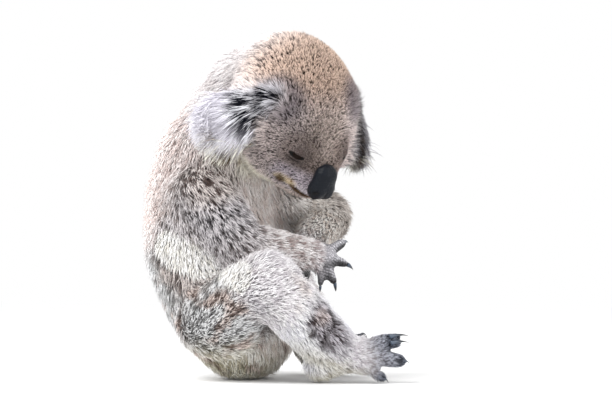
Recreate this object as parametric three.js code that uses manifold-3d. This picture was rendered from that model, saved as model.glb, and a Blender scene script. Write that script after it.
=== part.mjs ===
// A koala asleep on its haunches: back rounded, chin sunk on crossed forearms, knees drawn up
// and the feet laid forward on their outer edges. Life size, in millimetres, standing on z = 0.
// +Z is up, the chest faces -Y, and the animal's right side is at -X.
//
// Every piece is flesh and coat together, out to the tips of the hair. A piece is described as a
// field: a function of a point that is negative inside. Fields are made from eggs and tapering
// limbs that melt into each other, and a three.js sphere or capsule is then inflated until each
// of its vertices lies on the field. Where two pieces meet, the lesser one is cut to fit.

import * as THREE from "three";
import { mergeVertices } from "three/addons/utils/BufferGeometryUtils.js";
import Module from "manifold-3d";

const wasm = await Module();
wasm.setup();

// ---------------------------------------------------------------- driving dimensions

const GAP = 0.35; // clearance left between two pieces that touch
const FLOOR = 0; // the level that the rump and the feet rest on

const headCentre = new THREE.Vector3(-10, -74, 343);
const headYaw = 30; // degrees, face turned to the animal's right
const headPitch = 52; // degrees, face bowed down
const soleHeight = 32; // of the middle of a foot that lies on its outer edge
const eyeRadius = 9;
const eyeStandsOut = 1.5; // how far the ball shows beyond the coat of the face

// Joints of the limbs. The right knee is drawn up outside the right forearm, and the left leg
// lies further out and further back. The left hand hangs on the belly behind the right forearm.
const joints = {
  right: {
    shoulder: [-56, 36, 240],
    elbow: [-59, -22, 172],
    wrist: [-6, -95, 160],
    hip: [-54, 25, 78],
    knee: [-80, -70, 127],
    ankle: [-23, -130, 46],
  },
  left: {
    shoulder: [62, 26, 246],
    elbow: [88, -72, 204],
    wrist: [26, -71, 170],
    hip: [52, 30, 78],
    knee: [108, -4, 111],
    ankle: [96, -62, 36],
  },
};

// Radii of the limbs at their two ends, coat included.
const girth = {
  upperArm: [49, 38],
  forearm: [37, 22],
  thigh: [48, 45],
  shank: [45, 38],
};

// How each hand and foot reaches, which way its palm or sole faces, and how far it is spread.
const hands = {
  right: { reach: [0.31, -0.9, -0.2], palm: [0.8, 0.04, -0.6], spread: 1 },
  left: { reach: [0, -0.3, -0.95], palm: [-0.1, 0.93, -0.36], spread: 0.6 },
};
const feet = {
  right: { reach: [0.28, -0.95, -0.1], palm: [0.88, 0.41, -0.25], spread: 1 },
  left: { reach: [-0.24, -0.97, -0.1], palm: [-0.78, 0.2, -0.6], spread: 1 },
};

// Digits, thumb side first: where the root lies in the palm, across towards the thumb and along
// the reach; the splay towards the thumb and the curl towards the palm, in degrees; the length;
// the radius at the root; and the length of the claw.
const fingers = [
  { name: "first", across: 12, along: -4, splay: 80, curl: 40, length: 24, radius: 8.5, claw: 22 },
  { name: "second", across: 12, along: 4, splay: 54, curl: 12, length: 31, radius: 9.5, claw: 25 },
  { name: "third", across: 3, along: 7, splay: 4, curl: 16, length: 28, radius: 9, claw: 27 },
  { name: "fourth", across: -7, along: 6, splay: -46, curl: 24, length: 28, radius: 8.5, claw: 26 },
  { name: "fifth", across: -13, along: 0, splay: -72, curl: 28, length: 25, radius: 8, claw: 23 },
];
// The big toe has no claw. The second and third toes are joined and carry two fine claws.
const toes = [
  { name: "first", across: 16, along: -10, splay: 50, curl: 66, length: 27, radius: 10, claw: 0 },
  { name: "second", across: 21, along: 10, splay: 17, curl: 1, length: 36, radius: 6.5, claw: 24 },
  { name: "third", across: 15, along: 12, splay: 15, curl: 5, length: 36, radius: 6.5, claw: 24 },
  { name: "fourth", across: 3, along: 9, splay: -1, curl: 7, length: 46, radius: 11, claw: 25 },
  { name: "fifth", across: -9, along: 3, splay: -25, curl: 9, length: 33, radius: 9, claw: 22 },
];

// ---------------------------------------------------------------- points and frames

const vec = (p) => (p.isVector3 ? p.clone() : new THREE.Vector3(...p));
const radians = THREE.MathUtils.degToRad;
const right = -1; // the sign of x on the animal's right side
const left = 1;

// The head's own frame: x towards the nose, y towards the animal's left, z towards the crown.
const headFrame = new THREE.Matrix4()
  .makeRotationZ(radians(-90 - headYaw))
  .multiply(new THREE.Matrix4().makeRotationY(radians(headPitch)))
  .setPosition(headCentre);
const onHead = (x, y, z) => new THREE.Vector3(x, y, z).applyMatrix4(headFrame);
const headTurn = new THREE.Quaternion().setFromRotationMatrix(headFrame);

// A turn that carries x onto `along` and z as near as it can onto `up`.
function turnTo(along, up) {
  const x = vec(along).normalize();
  const y = vec(up).cross(x).normalize();
  const z = x.clone().cross(y);
  return new THREE.Quaternion().setFromRotationMatrix(new THREE.Matrix4().makeBasis(x, y, z));
}

// ---------------------------------------------------------------- fields

// An egg with three half-axes, turned by a quaternion.
function egg(centre, halfAxes, turn = new THREE.Quaternion()) {
  const c = vec(centre);
  const back = turn.clone().invert();
  const [a, b, h] = halfAxes;
  return (p) => {
    const q = p.clone().sub(c).applyQuaternion(back);
    const once = Math.hypot(q.x / a, q.y / b, q.z / h);
    const twice = Math.hypot(q.x / (a * a), q.y / (b * b), q.z / (h * h));
    return twice > 0 ? (once * (once - 1)) / twice : -Math.min(a, b, h);
  };
}

// An egg placed in the head's frame.
const headEgg = (centre, halfAxes) => egg(onHead(...centre), halfAxes, headTurn);

// A round limb that tapers from one radius to another.
function taper(from, to, radiusFrom, radiusTo) {
  const a = vec(from);
  const run = vec(to).sub(a);
  const lengthSquared = run.lengthSq();
  return (p) => {
    const q = p.clone().sub(a);
    const share = THREE.MathUtils.clamp(q.dot(run) / lengthSquared, 0, 1);
    const radius = THREE.MathUtils.lerp(radiusFrom, radiusTo, share);
    return q.sub(run.clone().multiplyScalar(share)).length() - radius;
  };
}

// Fields melted together over a width.
function melt(width, ...fields) {
  return (p) =>
    fields.map((field) => field(p)).reduce((one, other) => {
      const h = Math.max(width - Math.abs(one - other), 0) / width;
      return Math.min(one, other) - (h * h * width) / 4;
    });
}

// ---------------------------------------------------------------- meshes and solids

function plainGeometry(geometry) {
  geometry.deleteAttribute("uv");
  geometry.deleteAttribute("normal");
  return mergeVertices(geometry, 1e-4);
}

// The point where a ray from inside a field leaves it.
function onSurface(field, from, out) {
  const reach = 220;
  const stride = 4;
  const at = (distance) => from.clone().addScaledVector(out, distance);
  let inner = 0;
  while (inner < reach && field(at(inner + stride)) <= 0) inner += stride;
  let outer = inner + stride;
  for (let halving = 0; halving < 20; halving++) {
    const half = (inner + outer) / 2;
    if (field(at(half)) > 0) outer = half;
    else inner = half;
  }
  return at(inner);
}

// A capsule around the line from `from` to `to`, or a sphere where the two are one point,
// with each vertex moved straight out from the line onto the field.
function wrap(field, from, to, rings, spokes) {
  const a = vec(from);
  const b = vec(to);
  const length = a.distanceTo(b);
  const radius = 40;
  const caps = Math.round(spokes / 4);
  const shape =
    length > 0
      ? new THREE.CapsuleGeometry(radius, length, caps, spokes, rings)
      : new THREE.SphereGeometry(radius, spokes, rings);
  const geometry = plainGeometry(shape);
  const axis = b.clone().sub(a).normalize();
  if (length > 0) {
    const turn = new THREE.Quaternion().setFromUnitVectors(new THREE.Vector3(0, 1, 0), axis);
    geometry.applyQuaternion(turn);
  }
  const middle = a.clone().add(b).multiplyScalar(0.5);
  const position = geometry.getAttribute("position");
  for (let i = 0; i < position.count; i++) {
    const vertex = new THREE.Vector3().fromBufferAttribute(position, i).add(middle);
    const along = THREE.MathUtils.clamp(vertex.clone().sub(a).dot(axis), 0, length);
    const root = a.clone().addScaledVector(axis, along);
    const out = vertex.sub(root).normalize();
    const at = onSurface(field, root, out);
    position.setXYZ(i, at.x, at.y, at.z);
  }
  return geometry;
}

function solidOf(geometry) {
  return new wasm.Manifold(
    new wasm.Mesh({
      numProp: 3,
      vertProperties: new Float32Array(geometry.getAttribute("position").array),
      triVerts: new Uint32Array(geometry.index.array),
    }),
  );
}

// The same mesh, swollen along its normals by the clearance.
function swollen(geometry) {
  const grown = geometry.clone();
  grown.computeVertexNormals();
  const position = grown.getAttribute("position");
  const normal = grown.getAttribute("normal");
  for (let i = 0; i < position.count; i++) {
    position.setXYZ(
      i,
      position.getX(i) + GAP * normal.getX(i),
      position.getY(i) + GAP * normal.getY(i),
      position.getZ(i) + GAP * normal.getZ(i),
    );
  }
  return grown;
}

function largestBody(solid, name) {
  const bodies = solid.decompose();
  if (bodies.length === 0) throw new Error(`${name} is hidden inside its neighbours`);
  return bodies.reduce((most, one) => (one.volume() > most.volume() ? one : most));
}

// ---------------------------------------------------------------- the model's pieces

const koala = new THREE.Group();
const coats = {
  back: { color: 0x9a9088, roughness: 0.95 },
  face: { color: 0x9c9188, roughness: 0.95 },
  ear: { color: 0xc9c6c0, roughness: 0.95 },
  arm: { color: 0x8d8681, roughness: 0.95 },
  leg: { color: 0xb9b6b4, roughness: 0.95 },
  nose: { color: 0x24262b, roughness: 0.45 },
  eye: { color: 0x2a1a10, roughness: 0.1 },
  claw: { color: 0x1f2124, roughness: 0.35 },
};
const materials = Object.fromEntries(
  Object.entries(coats).map(([name, look]) => [
    name,
    new THREE.MeshStandardMaterial({ name, metalness: 0, ...look }),
  ]),
);

// All that lies beyond a plane, on the side that its normal points to.
function beyond(point, normal) {
  const depth = 1000;
  const box = new THREE.BoxGeometry(depth, depth, depth).translate(0, 0, depth / 2);
  const turn = new THREE.Quaternion().setFromUnitVectors(new THREE.Vector3(0, 0, 1), normal);
  box.applyQuaternion(turn).translate(...point.toArray());
  return solidOf(plainGeometry(box));
}

// A thin cut through a joint, as the piece before it sees it and as the piece after it does: each
// loses all that lies beyond a point, the way a normal points.
function cutAt(point, normal) {
  const at = vec(point);
  const n = vec(normal).normalize();
  return { before: { at, normal: n }, after: { at, normal: n.clone().negate() } };
}

// A solid trimmed by cuts, each moved back by a clearance.
function trimmed(solid, cuts, clearance) {
  return cuts.reduce((rest, { at, normal }) => {
    const edge = at.clone().addScaledVector(normal, -clearance);
    return rest.subtract(beyond(edge, normal));
  }, solid);
}

// A thin cut that halves the bend of a limb at `joint`.
function cutBend(from, joint, to) {
  const arriving = vec(joint).sub(vec(from)).normalize();
  const leaving = vec(to).sub(vec(joint)).normalize();
  return cutAt(joint, arriving.add(leaving));
}

const ground = beyond(new THREE.Vector3(0, 0, FLOOR), new THREE.Vector3(0, 0, -1));
const placed = []; // every piece so far, with the swollen solid that later pieces are cut by

// Adds a piece, cut by the floor, by its own thin cuts and by every piece placed before it.
function place(name, coat, geometries, cuts = []) {
  const joined = geometries.map(solidOf).reduce((one, other) => one.add(other));
  const guard = geometries.map((g) => solidOf(swollen(g))).reduce((one, other) => one.add(other));
  const parted = trimmed(joined.subtract(ground), cuts, GAP / 2);
  const fitted = placed.reduce((rest, other) => rest.subtract(other.guard), parted);
  const body = largestBody(fitted, name);
  // Guards on the two sides of a thin cut overlap a little, so that nothing gets in between.
  placed.push({ name, guard: trimmed(guard, cuts, -GAP / 4) });
  const { vertProperties, triVerts, numProp } = body.getMesh();
  const points = new Float32Array((vertProperties.length / numProp) * 3);
  for (let i = 0; i < points.length / 3; i++) {
    points.set(vertProperties.subarray(i * numProp, i * numProp + 3), i * 3);
  }
  const geometry = new THREE.BufferGeometry();
  geometry.setAttribute("position", new THREE.BufferAttribute(points, 3));
  geometry.setIndex(new THREE.BufferAttribute(triVerts, 1));
  geometry.computeVertexNormals();
  const mesh = new THREE.Mesh(geometry, materials[coat]);
  mesh.name = name;
  koala.add(mesh);
}

// The head without its ears: a round skull, full cheeks, and a short deep muzzle and chin.
const headField = melt(
  22,
  headEgg([-14, 0, 7], [92, 84, 78]),
  headEgg([28, 0, 6], [54, 60, 50]),
  headEgg([30, 34, -32], [52, 43, 48]),
  headEgg([30, -34, -32], [52, 43, 48]),
  headEgg([76, 0, -12], [46, 34, 36]),
  headEgg([62, 0, -43], [43, 34, 26]),
);

function nosePad() {
  const turn = headTurn.clone().multiply(
    new THREE.Quaternion().setFromAxisAngle(new THREE.Vector3(0, 1, 0), radians(-25)),
  );
  const middle = onHead(111, -1, -3);
  const wings = [right, left].map((side) => {
    const at = new THREE.Vector3(-1, side * 9, -11).applyQuaternion(turn).add(middle);
    return egg(at, [12, 10, 11], turn);
  });
  const brow = new THREE.Vector3(0, 0, 9).applyQuaternion(turn).add(middle);
  const pad = melt(8, egg(middle, [12, 16, 21], turn), egg(brow, [12, 14, 12], turn), ...wings);
  place("nose_pad", "nose", [wrap(pad, middle, middle, 9, 16)]);
}

function eyes() {
  for (const side of [right, left]) {
    const from = onHead(62, side * 8, 6);
    const out = new THREE.Vector3(0.55, side * 0.83, 0.1).applyQuaternion(headTurn).normalize();
    const centre = onSurface(headField, from, out).addScaledVector(out, eyeStandsOut - eyeRadius);
    const ball = new THREE.SphereGeometry(eyeRadius, 10, 7);
    ball.translate(...centre.toArray());
    place(side === right ? "right_eye" : "left_eye", "eye", [plainGeometry(ball)]);
  }
}

// Back, belly, rump and nape in one sweep, parted by a thin cut across the shoulders.
const backField = melt(
  42,
  egg([0, -3, 50], [74, 56, 57]),
  egg([0, 18, 97], [94, 84, 74]),
  egg([0, 50, 168], [98, 86, 84]),
  egg([0, 52, 238], [86, 82, 64]),
  egg([0, 42, 288], [71, 62, 50]),
  taper([0, 36, 300], [0, -4, 368], 66, 62),
);
const shoulderCut = cutAt([0, 45, 268], [0, -0.25, 1]);

function trunk() {
  const wrapped = wrap(backField, [0, 12, 70], [0, 44, 235], 8, 20);
  place("trunk", "back", [wrapped], [shoulderCut.before]);
}

function neck() {
  const wrapped = wrap(backField, [0, 38, 275], [0, -4, 362], 3, 18);
  place("neck", "back", [wrapped], [shoulderCut.after]);
}

function head() {
  place("head", "face", [wrap(headField, onHead(-20, 0, 4), onHead(72, 0, -16), 7, 24)]);
}

// A cupped disc with its long fringe. The right ear droops outwards, and the left one, pressed
// by the bowed head's own weight, droops further, along the cheek.
function ears() {
  const lies = {
    right: { out: [0.2, -0.84, -0.5], face: [0.34, -0.56, 0.76] },
    left: { out: [0.78, 0.24, -0.58], face: [0.5, 0.4, 0.76] },
  };
  for (const [name, { out, face }] of Object.entries(lies)) {
    const root = onHead(5, (name === "right" ? right : left) * 60, 11);
    const outwards = vec(out).normalize().applyQuaternion(headTurn);
    const turn = turnTo(outwards, vec(face).applyQuaternion(headTurn));
    const disc = root.clone().addScaledVector(outwards, 37);
    const field = melt(14, egg(disc, [47, 51, 14], turn), taper(root, disc, 26, 16));
    const start = root.clone().addScaledVector(outwards, 20);
    place(`${name}_ear`, "ear", [wrap(field, start, disc, 2, 14)]);
  }
}

function arm(side) {
  const { shoulder, elbow, wrist } = joints[side];
  const cut = cutBend(shoulder, elbow, wrist);
  const upper = taper(shoulder, elbow, ...girth.upperArm);
  place(`${side}_upper_arm`, "arm", [wrap(upper, shoulder, elbow, 3, 12)], [cut.before]);
  const fore = taper(elbow, wrist, ...girth.forearm);
  place(`${side}_forearm`, "arm", [wrap(fore, elbow, wrist, 3, 12)], [cut.after]);
}

function leg(side) {
  const { hip, knee, ankle } = joints[side];
  const cut = cutBend(hip, knee, ankle);
  const out = side === "right" ? right : left;
  const haunch = egg([out * 60, -4, 68], [44, 52, 46]);
  const thigh = melt(30, taper(hip, knee, ...girth.thigh), haunch);
  place(`${side}_thigh`, "leg", [wrap(thigh, hip, knee, 4, 14)], [cut.before]);
  const shank = taper(knee, ankle, ...girth.shank);
  place(`${side}_shank`, "leg", [wrap(shank, knee, ankle, 3, 12)], [cut.after]);
}

// The three axes of a hand or foot: where it reaches, where its thumb side is, and its palm.
function gripFrame({ reach, palm, spread }, side) {
  const forward = vec(reach).normalize();
  const inwards = vec(palm);
  inwards.addScaledVector(forward, -inwards.dot(forward)).normalize();
  const thumb = forward.clone().cross(inwards);
  if (side === "left") thumb.negate();
  return { forward, inwards, thumb, spread };
}

// A direction in the plane of the palm, `splay` degrees from the reach, bent `curl` degrees
// towards the palm.
function digitDirection({ forward, inwards, thumb }, splay, curl) {
  const flat = forward
    .clone()
    .multiplyScalar(Math.cos(radians(splay)))
    .addScaledVector(thumb, Math.sin(radians(splay)));
  return flat
    .multiplyScalar(Math.cos(radians(curl)))
    .addScaledVector(inwards, Math.sin(radians(curl)))
    .normalize();
}

// A claw: a cone bent along an arc, flattened sideways, its root inside the fingertip.
function claw(root, direction, inwards, length) {
  const radius = length * 0.17;
  const bend = radians(52);
  const cone = plainGeometry(new THREE.ConeGeometry(radius, length, 6, 3));
  cone.translate(0, length / 2, 0);
  const position = cone.getAttribute("position");
  for (let i = 0; i < position.count; i++) {
    const angle = (position.getY(i) / length) * bend;
    const arc = length / bend;
    const across = position.getX(i);
    position.setXYZ(
      i,
      arc * (1 - Math.cos(angle)) + across * Math.cos(angle),
      arc * Math.sin(angle) - across * Math.sin(angle),
      position.getZ(i) * 0.75,
    );
  }
  const y = vec(direction).normalize();
  const x = vec(inwards).addScaledVector(y, -vec(inwards).dot(y)).normalize();
  cone.applyMatrix4(new THREE.Matrix4().makeBasis(x, y, x.clone().cross(y)).setPosition(root));
  return cone;
}

// The digits of one palm: their flesh, and the claws that stand on their backs.
function digits(side, kind, table, frame, palm) {
  const made = { flesh: [], claws: [] };
  for (const digit of table) {
    const splay = digit.splay * frame.spread;
    const first = digitDirection(frame, splay, digit.curl * 0.6);
    const last = digitDirection(frame, splay, digit.curl * 1.5);
    const root = palm.clone();
    root.addScaledVector(frame.thumb, digit.across * frame.spread);
    root.addScaledVector(frame.forward, digit.along);
    const knuckle = root.clone().addScaledVector(first, digit.length * 0.55);
    const tip = knuckle.clone().addScaledVector(last, digit.length * 0.45 - digit.radius * 0.6);
    const field = melt(
      4,
      taper(root, knuckle, digit.radius, digit.radius * 0.92),
      taper(knuckle, tip, digit.radius * 0.92, digit.radius * 0.72),
    );
    made.flesh.push(wrap(field, root, tip, 2, 7));
    if (digit.claw > 0) {
      const from = tip.clone().addScaledVector(frame.inwards, -digit.radius * 0.5);
      from.addScaledVector(last, -digit.radius * 0.6);
      const name = `${side}_${digit.name}_${kind}_claw`;
      made.claws.push([name, claw(from, last, frame.inwards, digit.claw)]);
    }
  }
  return made;
}

function hand(side) {
  const { wrist } = joints[side];
  const frame = gripFrame(hands[side], side);
  const palm = vec(wrist).addScaledVector(frame.forward, 14).addScaledVector(frame.inwards, 6);
  const turn = turnTo(frame.forward, frame.inwards);
  const field = melt(14, egg(palm, [21, 20, 14], turn), taper(wrist, palm, 19, 14));
  const { flesh, claws } = digits(side, "finger", fingers, frame, palm);
  place(`${side}_hand`, "arm", [wrap(field, wrist, palm, 2, 10), ...flesh]);
  for (const [name, geometry] of claws) place(name, "claw", [geometry]);
}

function foot(side) {
  const { ankle } = joints[side];
  const frame = gripFrame(feet[side], side);
  const sole = vec(ankle).addScaledVector(frame.forward, 38);
  sole.z = soleHeight;
  const turn = turnTo(frame.forward, frame.inwards);
  const heel = vec(ankle).addScaledVector(frame.forward, -12);
  heel.z = 22;
  const field = melt(
    18,
    egg(sole, [30, 25, 16], turn),
    taper(ankle, sole, 28, 17),
    egg(heel, [27, 27, 25]),
  );
  const { flesh, claws } = digits(side, "toe", toes, frame, sole);
  place(`${side}_foot`, "leg", [wrap(field, heel, sole, 3, 10), ...flesh]);
  for (const [name, geometry] of claws) place(name, "claw", [geometry]);
}

trunk();
neck();
nosePad();
eyes();
head();
ears();
for (const side of ["right", "left"]) {
  arm(side);
  leg(side);
  hand(side);
  foot(side);
}

// The origin goes to the middle of the box's underside.
const box = new THREE.Box3().setFromObject(koala);
koala.position.set(-(box.min.x + box.max.x) / 2, -(box.min.y + box.max.y) / 2, FLOOR);

export default koala;
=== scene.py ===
# %% [markdown]
# # A koala asleep on its haunches
#
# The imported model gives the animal's solids, out to the tips of its coat. This script puts one
# skin inside them, grows the coat on that skin as thin solid tufts, and makes the eyes, nose and
# claws. Everything is placed from the solids, so nothing has to be fitted by hand.

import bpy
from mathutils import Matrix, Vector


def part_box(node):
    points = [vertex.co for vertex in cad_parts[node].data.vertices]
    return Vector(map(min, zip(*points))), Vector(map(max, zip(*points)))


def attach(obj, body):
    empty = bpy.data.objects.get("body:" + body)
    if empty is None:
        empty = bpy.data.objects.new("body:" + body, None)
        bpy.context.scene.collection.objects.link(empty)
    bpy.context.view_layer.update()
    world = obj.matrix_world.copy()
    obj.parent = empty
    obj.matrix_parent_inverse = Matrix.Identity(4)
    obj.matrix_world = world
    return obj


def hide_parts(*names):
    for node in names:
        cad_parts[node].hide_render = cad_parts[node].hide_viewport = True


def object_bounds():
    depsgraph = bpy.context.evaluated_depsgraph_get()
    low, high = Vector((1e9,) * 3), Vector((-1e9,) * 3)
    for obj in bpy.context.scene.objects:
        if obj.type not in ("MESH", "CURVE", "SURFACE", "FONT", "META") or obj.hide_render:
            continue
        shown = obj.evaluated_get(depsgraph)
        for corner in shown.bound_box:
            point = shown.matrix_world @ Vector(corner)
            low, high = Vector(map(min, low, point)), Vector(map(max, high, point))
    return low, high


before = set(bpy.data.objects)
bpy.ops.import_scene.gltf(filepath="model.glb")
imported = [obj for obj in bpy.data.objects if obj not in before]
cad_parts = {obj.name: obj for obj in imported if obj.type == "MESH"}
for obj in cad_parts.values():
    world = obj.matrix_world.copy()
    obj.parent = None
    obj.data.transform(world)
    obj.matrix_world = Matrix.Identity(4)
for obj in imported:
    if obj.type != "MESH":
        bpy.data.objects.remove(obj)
cad_box = [list(corner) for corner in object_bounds()]

import math

import bpy
import numpy as np
from mathutils import Vector, noise
from mathutils.bvhtree import BVHTree
from mathutils.kdtree import KDTree

MM = 0.001
dice = np.random.default_rng(11)
print("nodes:", len(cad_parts))

# %% [markdown]
# ## The camera
#
# The animal is seen from its right side and a little from the front, almost level. A short lens
# close by would swell the nearer knee. A long lens far away keeps every part in proportion, so
# this camera stands five metres off.

# %% Set the camera
VIEW_TURN = math.radians(-65)
VIEW_RISE = math.radians(1.5)
VIEW_DISTANCE = 5.0
SENSOR = 36.0
VIEW_WIDTH = 0.777  # metres that the picture's width shows at the animal
AIM_ASIDE = 0.034  # the animal sits a little left of the picture's middle

low_corner, high_corner = (Vector(corner) for corner in cad_box)
MIDDLE = (low_corner + high_corner) / 2
backwards = Vector((
    math.sin(VIEW_TURN) * math.cos(VIEW_RISE),
    -math.cos(VIEW_TURN) * math.cos(VIEW_RISE),
    math.sin(VIEW_RISE),
))
sideways = Vector((math.cos(VIEW_TURN), math.sin(VIEW_TURN), 0))
aim = MIDDLE + sideways * AIM_ASIDE

lens = bpy.data.cameras.new("camera")
lens.sensor_width = SENSOR
lens.lens = SENSOR * VIEW_DISTANCE / VIEW_WIDTH
camera = bpy.data.objects.new("camera", lens)
camera.location = aim + backwards * VIEW_DISTANCE
camera.rotation_euler = backwards.to_track_quat("Z", "Y").to_euler()
bpy.context.scene.collection.objects.link(camera)
bpy.context.scene.camera = camera
print("camera height:", round(camera.location.z, 3), "lens:", round(lens.lens))

# %% [markdown]
# ## Landmarks
#
# Joints and bones are not in the solids, but where two solids meet is. The middle of each meeting
# is a joint, and a line between two joints is a bone. Typed numbers would do as well until a solid
# moved; measured ones follow it.

# %% Measure the joints
SIDES = ("right", "left")
OUTWARDS = {"right": -1, "left": 1}  # the sign of x on each side
SEAT_HEIGHT = 55 * MM
SEAT_FORWARD = 15 * MM  # how far the seat lies in front of the trunk's middle


def corners(node):
    """The vertices of a CAD node, as an array."""
    return np.array([v.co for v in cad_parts[node].data.vertices])


def tree_of(mesh):
    """A mesh as a tree that finds its nearest point, or what a ray hits."""
    return BVHTree.FromPolygons([v.co for v in mesh.vertices], [p.vertices for p in mesh.polygons])


def meeting(node, other, reach=1.2 * MM):
    """The middle of the place where one node touches another."""
    tree = tree_of(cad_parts[other].data)
    near = [p for p in corners(node) if tree.find_nearest(Vector(p))[3] < reach]
    return np.mean(near, axis=0)


def unit(v):
    """A direction, or each of many, at a length of 1."""
    v = np.asarray(v, float)
    return v / np.maximum(np.linalg.norm(v, axis=-1, keepdims=True), 1e-9)


def centre(node):
    """The middle of a CAD node's box."""
    low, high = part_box(node)
    return np.array((low + high) / 2)


joint = {}
for side in SIDES:
    joint[side] = {
        "shoulder": meeting(f"{side}_upper_arm", "trunk"),
        "elbow": meeting(f"{side}_upper_arm", f"{side}_forearm"),
        "wrist": meeting(f"{side}_forearm", f"{side}_hand"),
        "hip": meeting(f"{side}_thigh", "trunk"),
        "knee": meeting(f"{side}_thigh", f"{side}_shank"),
        "ankle": meeting(f"{side}_shank", f"{side}_foot"),
        "ear": meeting(f"{side}_ear", "head"),
    }
    print(side, {k: [round(float(c) * 1000) for c in v] for k, v in joint[side].items()})
withers = meeting("neck", "trunk")
nape = meeting("neck", "head")
seat = np.array([withers[0], centre("trunk")[1] - SEAT_FORWARD, SEAT_HEIGHT])

# %% [markdown]
# A koala climbs with ten strong finger claws and eight toe claws. Each claw's solid is long and
# thin, so its ends and the side it bows to can be measured, and a better claw set in its place.


# %% Measure the claws
def claw_line(node, palm):
    """Root, tip and bow of a claw: the root is the end nearer the palm, the bow its back."""
    points = corners(node)
    order = np.argsort(np.linalg.norm(points - palm, axis=1))
    root = points[order[: len(points) // 5]].mean(axis=0)  # the nearest fifth of the claw
    tip = points[order[-1]]
    chord = unit(tip - root)
    bow = points[order[len(points) // 4:]].mean(axis=0) - root
    return root, tip, unit(bow - bow @ chord * chord)


DIGITS = ("first", "second", "third", "fourth", "fifth")
PALM_OF = {"finger": "hand", "toe": "foot"}
palm_middle = {(side, palm): centre(f"{side}_{palm}")
               for side in SIDES for palm in PALM_OF.values()}
claws = {}  # for each claw: side, palm, root, tip, bow
for side in SIDES:
    for kind, palm in PALM_OF.items():
        for name in DIGITS:
            node = f"{side}_{name}_{kind}_claw"
            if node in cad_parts:
                claws[node] = (side, palm, *claw_line(node, palm_middle[side, palm]))
PAW_BACKS = {  # which way the furry side of each hand and foot faces
    ("right", "hand"): (-0.8, 0, 0.6), ("left", "hand"): (0.1, -0.93, 0.36),
    ("right", "foot"): (-0.88, -0.41, 0.25), ("left", "foot"): (0.78, -0.2, 0.6),
}
paw_back = {paw: unit(way) for paw, way in PAW_BACKS.items()}
print("claws:", len(claws))

# %% [markdown]
# The head is turned and bowed. Its features could be placed in the room's axes, but they are
# easier to think of in axes of its own: forward to the nose, to its left, and up to the crown.

# %% Lay out the head's own axes
head_middle = centre("head")
nose_tip = centre("nose_pad")
eye = {side: centre(f"{side}_eye") for side in SIDES}
head_left = unit(eye["left"] - eye["right"])
head_forward = nose_tip - head_middle
head_forward = unit(head_forward - head_forward @ head_left * head_left)
head_up = np.cross(head_forward, head_left)
HEAD_AXES = np.array([head_forward, head_left, head_up])
mid_plane = float((eye["left"] + eye["right"]) @ head_left / 2 - head_middle @ head_left)
print("head axes:", HEAD_AXES.round(2).tolist())


def on_head(points):
    """Points in the head's frame, in millimetres: forward, aside from its middle, and up."""
    local = (np.asarray(points) - head_middle) @ HEAD_AXES.T
    local[..., 1] -= mid_plane
    return local / MM


def off_head(forward, aside, up):
    """The place of a point that is given in the head's frame."""
    return head_middle + np.array([forward * MM, aside * MM + mid_plane, up * MM]) @ HEAD_AXES


# %% [markdown]
# Each eye has axes too: along the slit between the lids towards the nose, across it towards the
# brow, and outwards. The lids are shaped and shaded in them.

# %% Lay out the axes of the eyes
LOOK = (0.55, 0.83, 0.1)  # where a lid faces, in the head's axes: forward, outwards, up
SLIT_LIE = (1, 0, 0.22)  # the slit rises a little towards the nose
lid_axes = {}
for side in SIDES:
    out = unit(np.multiply(LOOK, (1, OUTWARDS[side], 1)) @ HEAD_AXES)
    slit = np.array(SLIT_LIE) @ HEAD_AXES
    slit = unit(slit - slit @ out * out)
    brow = np.cross(out, slit)
    lid_axes[side] = np.array([slit, brow * np.sign(brow @ head_up), out])
    print(side, "lid axes:", lid_axes[side].round(2).tolist())


def on_lid(points, side):
    """Points in the frame of an eye, in millimetres: along the slit, towards the brow, outwards."""
    return (points - eye[side]) @ lid_axes[side].T / MM


# %% [markdown]
# ## Bones
#
# Each bone has the thickness of the limb around it. Any point of the body then belongs to the
# bones near it, more to the nearer ones. Vertex groups painted by hand would change sharply from
# part to part; this makes the coat change softly.

# %% Lay out the bones
bones = []  # region, start, end, radius


def bone(region, start, end, radius):
    """Adds a bone; its radius is in millimetres."""
    bones.append((region, np.asarray(start, float), np.asarray(end, float), radius * MM))


ear_middle, fan = {}, {}
bone("trunk", seat, withers, 88)
bone("neck", withers, nape, 66)
bone("head", head_middle - 12 * MM * head_forward, head_middle + 12 * MM * head_forward, 86)
bone("muzzle", head_middle + 60 * MM * head_forward, nose_tip, 31)
for side in SIDES:
    at = joint[side]
    ear_middle[side] = centre(f"{side}_ear")
    fan[side] = off_head(14, OUTWARDS[side] * 59, 51)  # the ear's long hair spreads from here
    ear_start = at["ear"] + 0.45 * (ear_middle[side] - at["ear"])
    bone("ear", ear_start, ear_middle[side], 34)
    bone("ear", fan[side] + 0.12 * (ear_middle[side] - fan[side]), ear_start, 22)
    bone("upper_arm", at["shoulder"], at["elbow"], 40)
    bone("forearm", at["elbow"], at["wrist"] + 12 * MM * unit(at["elbow"] - at["wrist"]), 29)
    bone("thigh", at["hip"], at["knee"], 50)
    bone("shank", at["knee"], at["ankle"], 41)
    bone("hand", at["wrist"], palm_middle[side, "hand"], 27)
    bone("foot", at["ankle"], palm_middle[side, "foot"], 24)
    for of_side, palm, root, tip, bow in claws.values():
        if of_side == side:
            middle = palm_middle[side, palm]
            bone("digit", middle + 0.5 * (root - middle), root + 4 * MM * unit(root - middle), 9)
print("bones:", len(bones))

# %% [markdown]
# The coat lies along the bones: away from the nose on the head, down the back, and out along each
# limb. Combing it by hand would take a long time and would not repeat, so the lie is worked out.

# %% Share the body among the bones
REGIONS = ("trunk", "neck", "head", "muzzle", "ear", "upper_arm", "forearm", "hand",
           "thigh", "shank", "foot", "digit")
SOFTNESS = 7 * MM  # how gradually one region gives way to the next


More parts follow.
